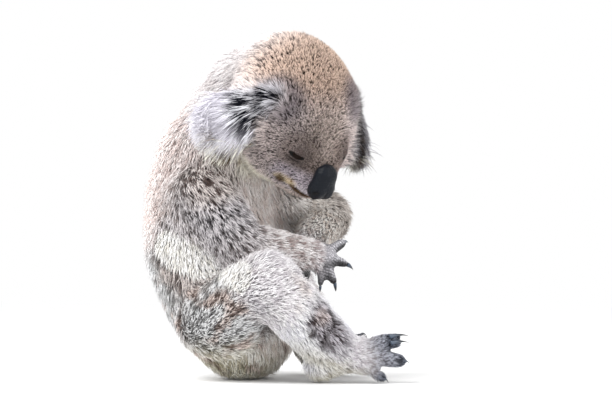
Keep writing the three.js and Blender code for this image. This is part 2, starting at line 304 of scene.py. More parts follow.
def coat_run(region, points, start, end):
    """The lie of the coat at points of a region."""
    if region in ("head", "muzzle"):
        return unit(points - nose_tip)
    if region in ("trunk", "neck"):
        return np.broadcast_to(unit(start - end), points.shape)
    if region == "ear":
        nearest = min(SIDES, key=lambda side: np.linalg.norm(ear_middle[side] - end))
        return unit(points - fan[nearest])
    return np.broadcast_to(unit(end - start), points.shape)


def off_line(points, start, end):
    """How far along a line each point lies, from 0 to 1, and the way to it from the line."""
    run = end - start
    along = np.clip((points - start) @ run / max(run @ run, 1e-12), 0, 1)
    return along, points - start - along[:, None] * run


def shares(points):
    """How much each region owns each point, and which way the coat runs there."""
    owned = np.zeros((len(points), len(REGIONS)))
    runs = np.zeros((len(points), 3))
    for region, start, end, radius in bones:
        away = np.linalg.norm(off_line(points, start, end)[1], axis=1) - radius
        weight = np.exp(-np.clip(away / SOFTNESS, -3, 60))
        owned[:, REGIONS.index(region)] += weight
        runs += weight[:, None] * coat_run(region, points, start, end)
    return owned / owned.sum(axis=1, keepdims=True), unit(runs)


def part(owned, *regions):
    """The share of some regions in each point."""
    return owned[:, [REGIONS.index(region) for region in regions]].sum(axis=1)


print("regions:", len(REGIONS))

# %% [markdown]
# ## The kinds of coat
#
# Every region has a coat of its own. It is deep and woolly on the back, short plush on the face,
# and next to nothing on the fingers. The hairs stand in small clumps, whose tips draw together.
# One table holds all of this, and a point between two regions gets a blend of their rows.

# %% Describe the coat
COAT_COLUMNS = ("depth", "length", "width", "rise", "number", "clump", "pull")
COAT = {  # millimetres, degrees, tufts on a square centimetre, clump size, and pull from 0 to 1
    "trunk": (11, 17, 2.0, 31, 22, 5.5, 0.5),
    "neck": (11, 17, 1.9, 30, 30, 5, 0.45),
    "head": (6, 4.6, 1.15, 60, 142, 1.55, 0.25),
    "muzzle": (2.4, 2.4, 0.95, 58, 190, 1.4, 0.25),
    "ear": (6, 33, 1.6, 14, 76, 4.0, 0.9),
    "upper_arm": (9, 14.5, 1.9, 38, 43, 3.9, 1.0),
    "forearm": (7, 11, 1.7, 36, 43, 3.8, 0.9),
    "hand": (1.6, 4.5, 1.1, 26, 90, 3, 0.2),
    "thigh": (9, 13, 1.8, 36, 34, 3.6, 0.7),
    "shank": (8, 11.5, 1.7, 33, 39, 4.0, 0.7),
    "foot": (2.2, 6, 1.2, 27, 90, 3, 0.3),
    "digit": (-0.6, 4.5, 1.1, 24, 130, 2.2, 0.2),
}


def coat(owned, column):
    """One value of the coat at each point, blended between the regions."""
    index = COAT_COLUMNS.index(column)
    return owned @ np.array([COAT[region][index] for region in REGIONS], float)


print("longest hair, mm:", max(row[1] for row in COAT.values()))

# %% [markdown]
# ## The skin
#
# A koala is one soft body, so its parts must not show seams. They could be bridged by hand, but
# copies of the solids that are joined and remeshed give one closed surface at once.

# %% Join copies of the flesh
FLESH = ["trunk", "neck", "head", "right_ear", "left_ear"]
for side in SIDES:
    FLESH += [f"{side}_{limb}" for limb in
              ("upper_arm", "forearm", "hand", "thigh", "shank", "foot")]
UNDER_SKIN = ["nose_pad", "right_eye", "left_eye"]  # the skin runs on over and under these
VOXEL = 2.2 * MM


def only(*objects):
    """Selects these objects and nothing else."""
    bpy.ops.object.select_all(action="DESELECT")
    for o in objects:
        o.select_set(True)
    bpy.context.view_layer.objects.active = objects[0]


def apply(o, kind, **settings):
    """Adds a modifier with these settings and applies it."""
    modifier = o.modifiers.new(kind.lower(), kind)
    for name, value in settings.items():
        setattr(modifier, name, value)
    only(o)
    bpy.ops.object.modifier_apply(modifier=modifier.name)


def merged_copy(name, nodes):
    """One object from copies of CAD nodes, with their loose triangles merged."""
    copies = []
    for node in nodes:
        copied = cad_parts[node].copy()
        copied.data = copied.data.copy()
        copied.parent = None
        for key in list(copied.keys()):
            del copied[key]
        copied.data.materials.clear()
        bpy.context.scene.collection.objects.link(copied)
        copies.append(copied)
    only(*copies)
    if len(copies) > 1:
        bpy.ops.object.join()
    made = bpy.context.view_layer.objects.active
    made.name = name
    bpy.ops.object.mode_set(mode="EDIT")
    bpy.ops.mesh.select_all(action="SELECT")
    bpy.ops.mesh.remove_doubles(threshold=0.01 * MM)
    bpy.ops.object.mode_set(mode="OBJECT")
    return made


skin = merged_copy("skin", FLESH + UNDER_SKIN)
apply(skin, "REMESH", mode="VOXEL", voxel_size=VOXEL, adaptivity=0)
print("skin faces:", len(skin.data.polygons))

# %% [markdown]
# The trunk and limbs are smoothed hard, to lose the steps of the solids. The digits, the eyelids
# and the muzzle would melt away under that, so a vertex group spares them.


# %% Smooth the skin
def read(mesh, what="co"):
    """The places or the normals of a mesh's vertices, as an array."""
    values = np.empty(len(mesh.vertices) * 3)
    if what == "co":
        mesh.vertices.foreach_get("co", values)
    else:
        mesh.vertex_normals.foreach_get("vector", values)
    return values.reshape(-1, 3)


def write(mesh, points):
    """Puts a mesh's vertices at these places."""
    mesh.vertices.foreach_set("co", points.ravel())
    mesh.update()


def weigh(o, name, weights, levels=10):
    """A vertex group with these weights, in ten steps."""
    group = o.vertex_groups.new(name=name)
    step = np.rint(np.clip(weights, 0, 1) * levels).astype(int)
    for level in range(1, levels + 1):
        group.add(np.flatnonzero(step == level).tolist(), level / levels, "REPLACE")
    return name


def ramp(x, low, high):
    """A soft step from 0 at low to 1 at high."""
    t = np.clip((np.asarray(x, float) - low) / (high - low), 0, 1)
    return t * t * (3 - 2 * t)


def from_nearer(points, places):
    """The distance to the nearer of two places, in millimetres."""
    return np.minimum(*(np.linalg.norm(points - places[side], axis=1) / MM for side in SIDES))


def near_eye(points, inner=11, outer=25):
    """1 on the eyelids, fading to 0 out on the cheek and the brow."""
    return 1 - ramp(from_nearer(points, eye), inner, outer)


co = read(skin.data)
owned, lie = shares(co)
fine = np.maximum(part(owned, "digit"), near_eye(co, 12, 20))
fine = np.maximum(fine, 0.9 * part(owned, "muzzle", "hand", "foot"))
broad = weigh(skin, "broad", 1 - fine)
apply(skin, "SMOOTH", factor=0.5, iterations=20, vertex_group=broad)
apply(skin, "SMOOTH", factor=0.5, iterations=3)
print("share of the skin that is spared:", round(float(fine.mean()), 3))

# %% [markdown]
# The solids reach to the tips of the hair. The skin is therefore drawn in by the depth of the
# coat, which is thick on the back and almost nothing on the toes. It is drawn in further at the
# rims of the ears, whose hair is longest, and under the nose pad. Scaling it down would not do,
# because it would shift every part towards the middle.

# %% Draw the skin in
RIM_DEPTH = 8  # millimetres more than the rest of the ear
PAD_DEPTH = 3
co = read(skin.data)
owned, lie = shares(co)
depth = coat(owned, "depth") * (1 - near_eye(co))
ear_rim = ramp(from_nearer(co, ear_middle), 24, 46) * ramp(from_nearer(co, fan), 50, 75)
depth += part(owned, "ear") * RIM_DEPTH * ear_rim
depth += PAD_DEPTH * (1 - ramp(np.linalg.norm(co - nose_tip, axis=1), 20 * MM, 27 * MM))
write(skin.data, co - depth[:, None] * MM * read(skin.data, "normal"))
apply(skin, "SMOOTH", factor=0.5, iterations=6, vertex_group=broad)
print("coat depth, mm:", depth.min().round(1), "to", depth.max().round(1))

# %% [markdown]
# Most of the skin lies under the coat, where few faces are enough. Decimate takes them away there
# and leaves them where the skin shows.

# %% Thin the skin out
KEPT_SHARE = 0.42
apply(skin, "DECIMATE", ratio=KEPT_SHARE, vertex_group=broad)
print("skin faces after thinning:", len(skin.data.polygons))

# %% [markdown]
# ## The face
#
# The lids and the mouth have finer shapes than the faces of the skin. The whole skin could be made
# finer, but it would grow too heavy, so only the faces there are subdivided.


# %% Refine the face
def refine(o, chosen):
    """Subdivides the faces whose middles are chosen."""
    middles = np.empty(len(o.data.polygons) * 3)
    o.data.polygons.foreach_get("center", middles)
    only(o)
    bpy.context.tool_settings.mesh_select_mode = (False, False, True)
    bpy.ops.object.mode_set(mode="EDIT")
    bpy.ops.mesh.select_all(action="DESELECT")
    bpy.ops.object.mode_set(mode="OBJECT")
    o.data.polygons.foreach_set("select", chosen(middles.reshape(-1, 3)))
    bpy.ops.object.mode_set(mode="EDIT")
    bpy.ops.mesh.subdivide(number_cuts=1, smoothness=0)
    bpy.ops.object.mode_set(mode="OBJECT")


# The mouth on one side, from its corner to the middle, in the head's frame.
MOUTH = np.array([[79, 40, -33], [87, 33, -31], [95, 23, -31], [103, 11, -31], [106, 0, -31]],
                 float)
FINE_LIDS = (15.05, 12.55)  # millimetres round each eye that are refined once, and once more
FINE_LIPS = 9


def off_mouth(points):
    """The distance from the mouth's line, in millimetres, and how far above it a point is."""
    h = on_head(points)
    h[:, 1] = np.abs(h[:, 1])
    away, above = np.full(len(h), 1e3), np.zeros(len(h))
    for start, end in zip(MOUTH, MOUTH[1:]):
        off = off_line(h, start, end)[1]
        distance = np.linalg.norm(off, axis=1)
        nearer = distance < away
        away[nearer], above[nearer] = distance[nearer], off[nearer, 2]
    return away, above


refine(skin, lambda middles: off_mouth(middles)[0] < FINE_LIPS)
for reach in FINE_LIDS:
    refine(skin, lambda middles: from_nearer(middles, eye) < reach)
print("skin faces after refining:", len(skin.data.polygons))

# %% [markdown]
# The eyes are shut. Each lid is a dome of skin over the eyeball, with a fold above and a deeper
# one below, and the slit between the lids is cut deep enough for a dark line of the ball to show.
# Sculpting would give this as well. Here each point is moved in or out from the eye's middle by
# sums of soft ridges, so every fold keeps its own number.

# %% Shape the eyelids
LID_RADIUS = 9.7  # the lids lie on the ball, whose radius is 9
LID_BLEND = 5.0  # how softly the lids run out into the cheek
LID_REACH = 24  # the part of the face round an eye that takes part
SLIT_REACH = 8.6  # half the slit's length
SLIT_DEPTH = 3.8
SLIT_WIDTH = 2.5
LOWER_FOLD = 6.2  # how far the fold under the eye lies below the slit


def ridge(x, width):
    """A soft ridge: 1 where x is 0, and gone a few widths away."""
    return np.exp(-((x / width) ** 2))


def over_slit(q, share):
    """How far above the slit, which sags a little in the middle, a point lies."""
    return q[:, 1] - 1.2 + 0.8 * share


def along_fold(q):
    """1 at the middle of the folds round an eye, and 0 at their ends."""
    return np.clip(1 - ((q[:, 0] + 1.5) / 12.5) ** 2, 0, 1)


co = read(skin.data)
for side in SIDES:
    q = on_lid(co, side)
    radius = np.linalg.norm(q, axis=1)
    near = (radius < LID_REACH) & (q[:, 2] > -4)
    gap = np.maximum(LID_BLEND - np.abs(radius - LID_RADIUS), 0) / LID_BLEND
    domed = np.maximum(radius, LID_RADIUS) + gap ** 2 * LID_BLEND / 4
    share = np.clip(1 - (q[:, 0] / SLIT_REACH) ** 2, 0, 1)
    over = over_slit(q, share)
    opened = SLIT_WIDTH * np.sqrt(share) + 0.2  # widest in the middle, closed at its ends
    domed -= SLIT_DEPTH * np.sqrt(share) * ridge(over, opened)
    domed += 0.7 * share * ridge(over - 3.0, 1.4)  # the upper lid's swollen edge
    domed -= 1.8 * along_fold(q) * ridge(over + LOWER_FOLD, 1.1)
    domed -= 0.7 * along_fold(q) * ridge(over - 7.5, 1.4)  # the fold under the brow
    moved = eye[side] + (q * (domed / np.maximum(radius, 1e-6))[:, None]) @ lid_axes[side] * MM
    co[near] = moved[near]
    print(side, "lid points:", int(near.sum()))
write(skin.data, co)

# %% [markdown]
# The closed mouth is a groove under the muzzle, with the upper lip standing a little over it. A
# boolean cut would leave hard edges; pressing the skin in along its normals keeps it soft.

# %% Press the mouth in
MOUTH_DEPTH = 3.0
LIP_HEIGHT = 1.1
away, above = off_mouth(co)
inwards = MOUTH_DEPTH * ridge(away, 1.3)
lip = LIP_HEIGHT * ridge(away - 3.6, 2.2) * (above > 0)
co = co + (lip - inwards)[:, None] * MM * read(skin.data, "normal")
write(skin.data, co)
print("lip points:", int((away < 4).sum()))

# %% [markdown]
# A sleeping koala is folded up, and its loose skin creases at the ankle and beside the knee. Each
# crease is a soft groove along a short line on the limb, pressed in like the mouth.

# %% Crease the limbs
CREASE_LINES = (  # for each end: share of the way up the shin, millimetres round it; then depth
    (0.68, -22, 0.57, 12, 3.5), (0.54, -4, 0.42, 20, 5), (0.48, -20, 0.3, -3, 5),
    (0.36, 3, 0.24, 19, 4), (0.6, 6, 0.38, 1, 4), (0.88, -20, 0.8, 10, 2.5),
)
CREASE_WIDTH = 5
SHIN_RADIUS = 29


def shin_front(side):
    """Which way the front of a shin faces."""
    return np.array([0.53 * OUTWARDS[side], -0.83, 0.16])


creases = []  # start, end, depth
for side in SIDES:
    at = joint[side]
    shin = at["knee"] - at["ankle"]
    front = shin_front(side)
    front = unit(front - front @ unit(shin) * unit(shin))
    across = np.cross(front, -unit(shin)) * OUTWARDS[side]
    for low, low_round, high, high_round, crease_depth in CREASE_LINES:
        start, end = (at["ankle"] + share * shin + (SHIN_RADIUS * front + round_mm * across) * MM
                      for share, round_mm in ((low, low_round), (high, high_round)))
        creases.append((start, end, crease_depth))
for start, end, crease_depth in creases:
    along, off = off_line(co, start, end)
    fading = np.sin(np.pi * np.clip(along, 0.04, 0.96))  # a crease runs out at both ends
    groove = crease_depth * fading * ridge(np.linalg.norm(off, axis=1) / MM, CREASE_WIDTH)
    co = co - groove[:, None] * MM * read(skin.data, "normal")
write(skin.data, co)
print("creases:", len(creases))

# %% [markdown]
# ## Markings
#
# A koala's hairs are banded and its coat is flecked, so every place on the body has two shades: a
# dark one for the hollows of the coat and a pale one for the tips of its tufts. An image could
# hold them, but it would stretch and show seams. Here they are stored on the points themselves.


# %% Choose the shades
def shade(r, g, b):
    """A colour from 0 to 255, as light."""
    c = np.array((r, g, b)) / 255
    return np.where(c <= 0.04045, c / 12.92, ((c + 0.055) / 1.055) ** 2.4)


TONES = {
    "back": ((236, 221, 217), (252, 246, 244)),
    "nape": ((228, 222, 222), (247, 245, 246)),
    "crown": ((44, 27, 20), (240, 212, 193)),
    "face": ((26, 18, 19), (252, 236, 232)),
    "brow": ((30, 20, 18), (250, 232, 222)),
    "muzzle": ((18, 12, 11), (150, 131, 124)),
    "lip": ((150, 138, 146), (255, 250, 255)),
    "jowl": ((40, 32, 38), (246, 234, 244)),
    "mouth": ((30, 18, 11), (110, 84, 56)),
    # painted shade for the groove of the mouth and its corners
    "gape": ((150, 122, 84), (255, 238, 205)),
    "throat": ((206, 194, 170), (247, 245, 233)),
    "ear": ((6, 8, 22), (250, 250, 255)),
    "ear_rim": ((214, 211, 220), (245, 243, 250)),
    "ear_root": ((4, 5, 10), (132, 124, 134)),
    # painted shade for the left ear
    "shaded_far_ear": ((8, 5, 8), (62, 47, 38)),
    "fringe": ((94, 80, 52), (250, 247, 234)),
    "arm": ((16, 11, 14), (244, 239, 242)),
    "shoulder": ((98, 82, 78), (255, 246, 242)),
    # painted shade for the left upper arm
    "shaded_far_arm": ((44, 38, 38), (190, 178, 170)),
    "forearm": ((150, 132, 128), (255, 253, 253)),
    "belly": ((250, 238, 228), (255, 253, 248)),
    "flank": ((250, 247, 241), (255, 255, 255)),
    "rump": ((122, 122, 121), (253, 253, 254)),
    "rust": ((100, 78, 68), (240, 221, 212)),
    "under": ((190, 182, 156), (255, 253, 243)),
    "thigh": ((198, 194, 200), (252, 251, 253)),
    "shank": ((232, 231, 238), (255, 255, 255)),
    "ankle": ((56, 44, 44), (224, 219, 226)),
    # painted shade for the creases of the shin
    "crease": ((22, 15, 15), (72, 60, 60)),
    "foot": ((182, 178, 189), (246, 245, 250)),
    "toe": ((74, 75, 84), (198, 201, 213)),
    "toe_end": ((28, 31, 38), (98, 105, 120)),
    "finger": ((40, 37, 42), (180, 176, 184)),
    "pad": ((192, 191, 197), (226, 225, 231)),
    # dark palm skin, laid on downward faces, so partly painted shade
    "palm": ((20, 18, 19), (44, 41, 43)),
    "sole": ((44, 33, 28), (90, 74, 66)),
    "lid": ((52, 41, 39), (140, 122, 118)),
    # dark lid margins, with painted shade in the slit and in the fold under the eye
    "lid_edge_and_shade": ((10, 7, 6), (38, 26, 20)),
}
PALETTE = {name: [shade(*tone) for tone in pair] for name, pair in TONES.items()}
print("shades:", len(PALETTE))

# %% [markdown]
# The fingers, the soles and the edges of the lids and lips are bare. One mask says where. The
# skin's own shades and gloss follow it, and no tuft grows inside it.


# %% Find the bare skin
def near_line(points, start, end, reach):
    """1 on a line, fading to 0 at a distance from it."""
    off = off_line(points, start, np.asarray(end))[1]
    return 1 - ramp(np.linalg.norm(off, axis=1), reach * 0.4, reach)


def near_point(points, place, inner, outer):
    """1 within `inner` millimetres of a place, fading to 0 at `outer`."""
    return 1 - ramp(np.linalg.norm(points - place, axis=1) / MM, inner, outer)


def in_slit(points, side, spread):
    """1 in the slit between the lids, which is a lens with pointed ends."""
    q = on_lid(points, side)
    share = np.clip(1 - (q[:, 0] / (SLIT_REACH + spread)) ** 2, 0, 1)
    over = np.abs(over_slit(q, share)) / np.sqrt(np.maximum(share, 1e-3))
    near = (np.linalg.norm(q, axis=1) < 16) & (q[:, 2] > 0) & (share > 0)
    return near * (1 - ramp(over, 1.5 + 0.5 * spread, 2.4 + spread))


FURRY_FROM = {"hand": 1.05, "foot": -0.1}  # how squarely a place must face the paw's back for hair
PAW_REACH = 75 * MM


def bareness(points, normals, owned):
    """1 where no hair grows."""
    bare = np.zeros(len(points))
    for side in SIDES:
        for palm, furry in FURRY_FROM.items():
            close = np.linalg.norm(points - palm_middle[side, palm], axis=1) < PAW_REACH
            turned = normals @ paw_back[side, palm]
            bare = np.maximum(bare, close * ramp(part(owned, "digit", palm), 0.3, 0.6)
                              * (1 - ramp(turned, furry - 0.35, furry)))
        bare = np.maximum(bare, in_slit(points, side, 1.0))
    return np.maximum(bare, 1 - ramp(off_mouth(points)[0], 2, 3.2))


co, normals = read(skin.data), read(skin.data, "normal")
owned, lie = shares(co)
bare = bareness(co, normals, owned)
print("bare share of the skin:", round(float(bare.mean()), 3))

# %% [markdown]
# Each marking is a shade and a mask that fades at its edges, and they are laid over one another
# in turn, like thin coats of paint. The order matters: the flank's white band comes after the arm
# it runs into, and the mouth comes after the lips.


# %% Lay shades over one another
PATCH_SIZE = 22 * MM  # of the slow changes in the coat
FRONT_TO_BACK = (-20 * MM, 45 * MM)  # where the front of the body gives way to its back
RIGHT_TO_LEFT = (-5 * MM, 15 * MM)


def drift(points, size):
    """Slow random change over the body, from 0 to 1, with patches of this size in metres."""
    return np.array([noise.noise(Vector(p)) for p in points / size]) * 0.6 + 0.5


class Painting:
    """The dark and the pale shade of the coat at some points."""

    def __init__(self, points, normals, owned):
        self.points, self.normals, self.owned = points, normals, owned
        self.dark, self.pale = (np.repeat(tone[None], len(points), axis=0)
                                for tone in PALETTE["back"])
        self.patches = drift(points, PATCH_SIZE)
        self.front = 1 - ramp(points[:, 1], *FRONT_TO_BACK)
        self.left = ramp(points[:, 0], *RIGHT_TO_LEFT)

    def lay(self, name, mask):
        """Lays a pair of shades on, as thickly as the mask says."""
        mask = np.clip(np.asarray(mask, float).reshape(-1, 1), 0, 1)
        self.dark = self.dark + mask * (PALETTE[name][0] - self.dark)
        self.pale = self.pale + mask * (PALETTE[name][1] - self.pale)

    def of(self, *regions):
        """The share of some regions in each point."""
        return part(self.owned, *regions)

    def on_side(self, side):
        """Which points are on this side of the animal."""
        return np.sign(self.points[:, 0]) == OUTWARDS[side]


def report(mark, on):
    """Lays one set of marks on the skin and prints the mean of its pale shades."""
    mark(on)
    print(mark.__name__, on.pale.mean(axis=0).round(3))


skin_marks = Painting(co, normals, owned)
print("points to mark:", len(skin_marks.points))

# %% [markdown]
# The back is pale, the rump is grey-brown with a ragged upper edge, and the chest and belly are
# cream. The upper arms and the sides behind them are dark and flecked.


# %% Mark the trunk and the arms
RUMP_TOP = (148 * MM, 198 * MM)  # the height where the rump's grey gives way to the back
RUMP_RAGGED = 40 * MM  # how far that edge wanders up and down
SIDE_STARTS = (45 * MM, 75 * MM)  # how far out from the middle the dark of the side starts
BEHIND_ARM, BELOW_ARM = 78 * MM, 52 * MM  # how far the dark reaches from the arm
THIGH_PALER = (0.35, 0.75)  # the shares of a thigh between which it turns paler
SHOULDER_REACH = 42 * MM
FAR_ARM_SHADE = (34, 66)  # millimetres from the left elbow
UNDERSIDE = (18 * MM, 70 * MM)  # heights over the floor
RUST_BELOW = (110 * MM, 150 * MM)
RUST_PATCHES = (0.58, 0.8)  # of the drift, which runs from 0 to 1


def mark_trunk(on):
    points, trunk, neck, thigh = on.points, on.of("trunk"), on.of("neck"), on.of("thigh")
    on.lay("nape", neck)
    ragged = points[:, 2] + RUMP_RAGGED * (on.patches - 0.5)
    on.lay("rump", trunk * (1 - ramp(ragged, *RUMP_TOP)))
    on.lay("belly", trunk * on.front)
    at_side = ramp(np.abs(points[:, 0]), *SIDE_STARTS)
    for side in SIDES:
        at, out, mine = joint[side], OUTWARDS[side], on.on_side(side)
        behind_arm = near_line(points, at["shoulder"], at["elbow"], BEHIND_ARM)
        below_arm = near_line(points, at["elbow"] + np.array([out * 26, 0, 0]) * MM,
                              at["elbow"] + np.array([out * 24, 78, 12]) * MM, BELOW_ARM)
        on.lay("arm", 0.9 * mine * at_side * (trunk + neck + thigh)
               * np.maximum(behind_arm, below_arm))
        run = at["knee"] - at["hip"]
        along = (points - at["hip"]) @ run / (run @ run)
        on.lay("rump", thigh * mine * (1 - ramp(along, *THIGH_PALER)))
        on.lay("thigh", thigh * mine * ramp(along, *THIGH_PALER))
        on.lay("forearm", on.of("forearm") * mine)


def mark_arms(on):
    points, trunk, thigh, upper_arm = on.points, on.of("trunk"), on.of("thigh"), on.of("upper_arm")
    on.lay("arm", upper_arm)
    for side in SIDES:
        shoulder = joint[side]["shoulder"]
        on.lay("shoulder", (on.of("neck") + trunk + upper_arm)
               * near_line(points, shoulder + 26 * MM * np.array([0, 0.3, 1]),
                           shoulder + np.array([0, -16, 44]) * MM, SHOULDER_REACH))
    on.lay("belly", 0.8 * on.of("upper_arm", "forearm") * on.left * on.front)
    # Painted shade: the left upper arm is darkened near its elbow, in the hollow by the chest.
    on.lay("shaded_far_arm", 0.8 * upper_arm * on.left
           * near_point(points, joint["left"]["elbow"], *FAR_ARM_SHADE))
    on.lay("shank", on.of("shank"))
    facing_down = ramp(-on.normals[:, 2], 0.1, 0.8)
    on.lay("under", (trunk + thigh + on.of("shank"))
           * (1 - ramp(points[:, 2], *UNDERSIDE)) * facing_down)
    on.lay("rust", 0.8 * (trunk + thigh) * ramp(on.patches, *RUST_PATCHES)
           * (1 - ramp(points[:, 2], *RUST_BELOW)))


report(mark_trunk, skin_marks)
report(mark_arms, skin_marks)

# %% [markdown]
# A white band runs over the flank from the back to between the elbow and the knee, with a rusty
# edge below it. The shin has a brown creased patch above the ankle and two rusty spots, and its
# creases are darkened with painted shade.


# %% Mark the flanks and the legs
BAND_BEHIND, BAND_BEFORE = 28 * MM, 26 * MM  # how far the band reaches from its line
BAND_EDGE = np.array([0, 0, -33]) * MM  # from the band down to its rusty edge
EDGE_REACH = 26 * MM
PATCH_UP, PATCH_OUT = 0.42, 34 * MM  # the brown patch: share of the way up the shin, and out
PATCH_FADES = (16, 34)  # millimetres from its middle
PATCH_RAGGED = 14
SPOTS_UP, SPOTS_OUT = (0.86, 0.55), 38 * MM  # the rusty spots, given in the same way
SPOT_FADES = (4, 17)
CREASE_SHADE_REACH = 8 * MM


def mark_legs(on):
    points, trunk, thigh, shank = on.points, on.of("trunk"), on.of("thigh"), on.of("shank")
    for side in SIDES:
        at, out, mine = joint[side], OUTWARDS[side], on.on_side(side)
        waist = (at["shoulder"] + at["hip"]) / 2
        behind = waist + np.array([out * 20, 66, 24]) * MM
        middle = waist + np.array([out * 22, 14, 0]) * MM
        before = (at["elbow"] + at["knee"]) / 2 + np.array([out * 46, 3, -18]) * MM
        on.lay("rust", 0.55 * (trunk + 0.3 * thigh)
               * near_line(points, behind + BAND_EDGE, middle + BAND_EDGE, EDGE_REACH))
        band = np.maximum(near_line(points, behind, middle, BAND_BEHIND),
                          near_line(points, middle, before, BAND_BEFORE))
        on.lay("flank", ramp(band, 0.15, 0.55) * (trunk + thigh + 0.5 * on.of("upper_arm")))
        shin = at["knee"] - at["ankle"]
        run, front = unit(shin), shin_front(side)
        away = (points - (at["ankle"] + PATCH_UP * shin + PATCH_OUT * front)) / MM
        aside = np.linalg.norm(away - np.outer(away @ run, run), axis=1)
        oval = np.hypot(aside, 0.7 * away @ run) + PATCH_RAGGED * (on.patches - 0.5)
        on.lay("ankle", mine * (shank + on.of("foot")) * (1 - ramp(oval, *PATCH_FADES)))
        for share in SPOTS_UP:
            spot = at["ankle"] + share * shin + SPOTS_OUT * front
            on.lay("rust", 0.5 * mine * (shank + thigh) * near_point(points, spot, *SPOT_FADES))
    # Painted shade: the shin's creases are darkened along their lines.
    for start, end, _ in creases:
        on.lay("crease", shank * (0.5 + 0.5 * on.patches)
               * near_line(points, start, end, CREASE_SHADE_REACH))


report(mark_legs, skin_marks)

# %% [markdown]
# The hands and feet are pale grey and darken towards the claws.


# %% Mark the paws
CLAW_REACH = {"hand": 30 * MM, "foot": 17 * MM}  # how far the dark of the claws spreads


def near_claws(points, palm):
    """1 at the claws of the hands or of the feet, fading away along the digits."""
    masks = []
    for side, of_palm, root, tip, bow in claws.values():
        if of_palm == palm:
            middle = palm_middle[side, palm]
            # On the hand the mask runs back to the palm, and on the foot it stays at the claw.
            end = middle if palm == "hand" else root + 0.01 * (root - middle)
            masks.append(near_line(points, root, end, CLAW_REACH[palm]))
    return np.max(masks, axis=0)


def mark_paws(on):
    on.lay("foot", on.of("foot", "hand"))
    on.lay("toe", on.of("digit"))
    on.lay("toe_end", 0.8 * near_claws(on.points, "foot"))
    on.lay("finger", on.of("digit") * near_claws(on.points, "hand"))


report(mark_paws, skin_marks)

# %% [markdown]
# The face is grey-brown and finely flecked, browner on the crown, and darkest on the muzzle and
# round the eyes. The throat is cream. The lips are palest beside the nose. The line of the mouth
# and its corners are darkened brown with painted shade.


# %% Mark the face
# Places and distances here are in millimetres: on the head, or from an eye or the mouth.
EYE_SHADE = (14, 36)
CHEEK_REACH, JOWL_REACH = 24 * MM, 26 * MM
LIP_STARTS = (86, 98)  # how far forward the lip is palest, beside the nose
GAPE_FADES, LIP_FADES, MOUTH_SHADE_FADES, CORNER_SHADE_FADES = (7, 16), (8, 20), (4, 7), (6, 12)


def mark_face(on):
    points, face, neck = on.points, on.of("head", "muzzle"), on.of("neck")
    h = on_head(points)
    forward, aside, up = h[:, 0], np.abs(h[:, 1]), h[:, 2]
    on.lay("face", face)
    on.lay("brow", face * ramp(forward + 0.2 * up, 30, 60) * (1 - ramp(aside, 14, 40)))
    on.lay("crown", face * ramp(up - 0.55 * forward, 24, 72))
    on.lay("muzzle", on.of("muzzle") * ramp(up, -24, -6))
    on.lay("muzzle", 0.75 * face * near_eye(points, *EYE_SHADE))
    away, above = off_mouth(points)
    on.lay("throat", (face + neck) * ramp(-up - 0.1 * forward, 38, 58) * (1 - ramp(above, 0, 3))
           * ramp(forward, 5, 30))
    for out in OUTWARDS.values():
        on.lay("throat", (neck + face + 0.6 * on.of("trunk"))
               * near_line(points, off_head(40, out * 62, -58), off_head(62, out * 45, -62),
                           CHEEK_REACH))
    for out in OUTWARDS.values():
        on.lay("jowl", 0.9 * face * near_line(points, off_head(80, out * 42, -22),
                                              off_head(101, out * 20, -14), JOWL_REACH))
    lip_end = ramp(forward, *LIP_STARTS)
    on.lay("gape", face * (1 - lip_end) * (above > 0) * (1 - ramp(away, *GAPE_FADES)))
    on.lay("lip", 0.8 * face * lip_end * (above > 0) * (1 - ramp(away, *LIP_FADES)))
    # Painted shade: the groove of the mouth and its corners are darkened.
    on.lay("mouth", face * (1 - ramp(away, *MOUTH_SHADE_FADES)))
    for out in OUTWARDS.values():
        corner = off_head(*(MOUTH[0] * [1, out, 1]))
        on.lay("mouth", 0.9 * face * near_point(points, corner, *CORNER_SHADE_FADES))


report(mark_face, skin_marks)

# %% [markdown]
# The ears' long hair is streaked black and white where it leaves the head, white at the rim and
# cream in the fringe below. The left ear is darkened with painted shade, most of all on the side
# that faces the head.


# %% Mark the ears
EAR_SHARE = (0.2, 0.65)  # how much a point must belong to the ear to be shaded as one
RIM_STARTS = (44, 64)  # millimetres from where the ear's hair spreads, as are the next three
ROOT_ON_EAR, ROOT_ON_FACE = (20, 48), (16, 44)
FAR_EAR_SHADE_FADES = (76, 96)
FRINGE_FADES = (12 * MM, 34 * MM)  # over the ear's lowest point
RIM_REACH, FRINGE_REACH = 90 * MM, 70 * MM  # from the ear's middle
lobe = {side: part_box(f"{side}_ear")[0].z for side in SIDES}  # the height of its lowest point


def mark_ears(on):
    points, face = on.points, on.of("head", "muzzle")
    ear = ramp(on.of("ear"), *EAR_SHARE)
    on.lay("ear", ear)
    for side in SIDES:
        from_fan = np.linalg.norm(points - fan[side], axis=1) / MM
        from_ear = np.linalg.norm(points - ear_middle[side], axis=1)
        on.lay("ear_rim", ear * (from_ear < RIM_REACH) * ramp(from_fan, *RIM_STARTS))
        on.lay("ear_root", 0.2 * ear * (1 - ramp(from_fan, *ROOT_ON_EAR)))
        on.lay("ear_root", 0.85 * face * (1 - ramp(from_fan, *ROOT_ON_FACE)))
        over_lobe = points[:, 2] - lobe[side]
        on.lay("fringe", ear * (from_ear < FRINGE_REACH) * (1 - ramp(over_lobe, *FRINGE_FADES)))
    # Painted shade: the left ear is darkened, most of all on its side towards the head and near
    # where its hair spreads.
    inner = ramp(on.normals @ unit(head_forward - head_left), -0.6, 0.1)
    on.lay("shaded_far_ear", (0.45 + 0.55 * inner) * ear * on.left
           * (0.4 + 0.6 * near_point(points, fan["left"], *FAR_EAR_SHADE_FADES)))


report(mark_ears, skin_marks)

